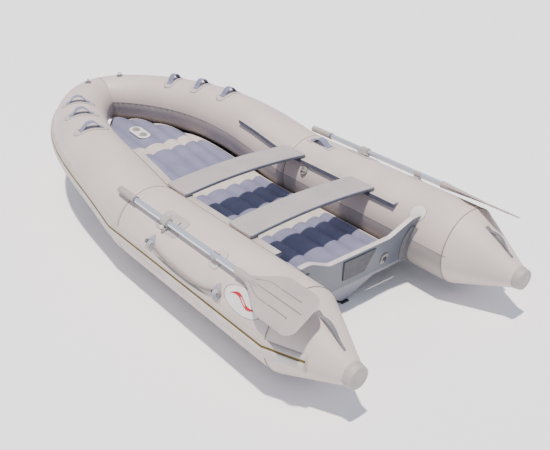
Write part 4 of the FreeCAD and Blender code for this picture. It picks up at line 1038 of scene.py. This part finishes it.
def rope_holders():
    """Moulded rope holders: a kite-shaped flange and a domed eye, stretched along the rope, with a dark
    disc on each end of the eye as painted shade inside its opening.
    """
    dome = [(21, 0), (21, 2), (20.2, 7), (18.4, 11.5), (15, 15.6), (10, 18.3), (5, 19.3), (1, 19.5)]
    dome = lathe([(r / 1000, h / 1000 + 0.2255) for r, h in dome], 48) * (1.02, 0.8, 1)
    mouth_shade_profile = [(1, 0), (7.6, 0), (8.4, 0.6), (8.4, 1.4), (7.4, 1.6), (1, 0.9)]
    cup = lathe([(r / 1000, h / 1000 + 0.0195) for r, h in mouth_shade_profile], 32, "x")
    made = []
    for number, station in enumerate(HOLDER_STATIONS, 1):
        flange = glued_patch(on_side(station, HOLDER_ANGLE), 0.032, 0.052, 1.35, 0.003)
        made += both("rope_holder_flange_{}".format(number), flange, [eye_plastic, patch_rim], "hull",
                     "fitting_rubber", bands=cut_rim(flange))
        made += both("rope_holder_eye_{}".format(number), off_side(station, HOLDER_ANGLE, dome), eye_plastic,
                     "hull", "fitting_rubber")
        # A dark disc at each end of the eye is painted shade, the dark inside of the opening that the rope
        # runs through.
        for end, sign in (("fore", 1), ("aft", -1)):
            mouth = off_side(station, HOLDER_ANGLE, cup * (sign, 1, 1) + (0, 0, TUBE_R + 0.012))
            both("rope_holder_mouth_{}_{}".format(number, end), mouth, plug_plastic_and_mouth_shade, "hull", "fitting_rubber")
    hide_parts("rope_holders")


# ------------------------------------------------------------------ transom and small fittings

BOARD_NORMAL = np.array([math.cos(RAKE), 0, math.sin(RAKE)])


def transom():
    """The board with its painted faces, the motor's plates, the holders and the drain."""
    # The board's faces carry painted shade and its edges a painted highlight.
    dressed("transom", "_board", [transom_slate_and_shade, transom_edge_highlight], "hull", 0.003,
            BOARD_NORMAL)
    dressed("outboard_motor_pad", "_moulded", motor_plastic, "hull", 0.002)
    dressed("inboard_motor_plate", "_moulded", motor_plastic, "hull", 0.001)
    dressed("transom_holders", "_rubber", holder_rubber, "hull", 0.0015)
    dressed("drain_socket", "_moulded", valve_plastic, "hull", 0.0012)
    dressed("drain_plug", "_moulded", plug_plastic_and_mouth_shade, "drain_plug", 0.001)


def small_fittings():
    """Keel guard, seat rails, valves, pins and bow eyes, all in the shapes of their nodes."""
    dressed("keel_guard", "_rubber", keel_rubber, "hull", 0.0008)
    for side in ("port", "starboard"):
        # The rails' tops are their cream plastic and their sides are painted shade.
        dressed(side + "_seat_rail", "_extruded", [rail_plastic, slate_side_shade], "hull", 0.0015,
                (0, 0, 1))
        dressed(side + "_valve_body", "_moulded", valve_plastic, "hull", 0.0008)
        dressed(side + "_valve_stem", "_moulded", valve_plastic, side + "_stem", 0.0004)
        dressed(side + "_valve_cap", "_moulded", valve_plastic, side + "_cap", 0.001)
    dressed("rowlock_pins", "_turned", steel, "hull", 0.0006)
    dressed("deck_valve_plate", "_moulded", name_fabric, "hull", 0.0015)
    dressed("deck_valve_cap_fore", "_moulded", valve_plastic, "fore_deck_cap", 0.001)
    dressed("deck_valve_cap_aft", "_moulded", valve_plastic, "aft_deck_cap", 0.001)
    dressed("bow_eyes", "_forged", steel, "hull", 0.0006)


# ------------------------------------------------------------------ floor and light

def studio():
    """A wide pale floor, one high soft sun a little aft of overhead, and a bluish sky for the shadows."""
    mesh = bpy.data.meshes.new("floor")
    corners = [(40 * x, 40 * y, 0) for x, y in ((-1, -1), (1, -1), (1, 1), (-1, 1))]
    mesh.from_pydata(corners, [], [(0, 1, 2, 3)])
    floor = bpy.data.objects.new("floor", mesh)
    bpy.context.scene.collection.objects.link(floor)
    mesh.materials.append(surface_of("studio_floor", "#fdfdfd", "#fafafb", 0.9, 4000, 50, 0.01))
    sky = bpy.data.worlds.new("sky")
    bpy.context.scene.world = sky
    sky.use_nodes = True
    glow = sky.node_tree.nodes["Background"]
    glow.inputs["Color"].default_value = linear("#cfdaf2")
    glow.inputs["Strength"].default_value = 0.9
    sun = bpy.data.lights.new("sun", "SUN")
    sun.energy = 5.8
    sun.angle = math.radians(2.5)
    sun.color = linear("#fff4ea")[:3]
    lamp = bpy.data.objects.new("sun", sun)
    lamp.rotation_euler = Euler([math.radians(-8), math.radians(-4), 0])
    bpy.context.scene.collection.objects.link(lamp)


ropes()
chambers()
seams()
end_caps()
air_deck()
deck_panels()
bottom()
strake()
seats()
oars()
patches()
handles()
transom()
small_fittings()
studio()
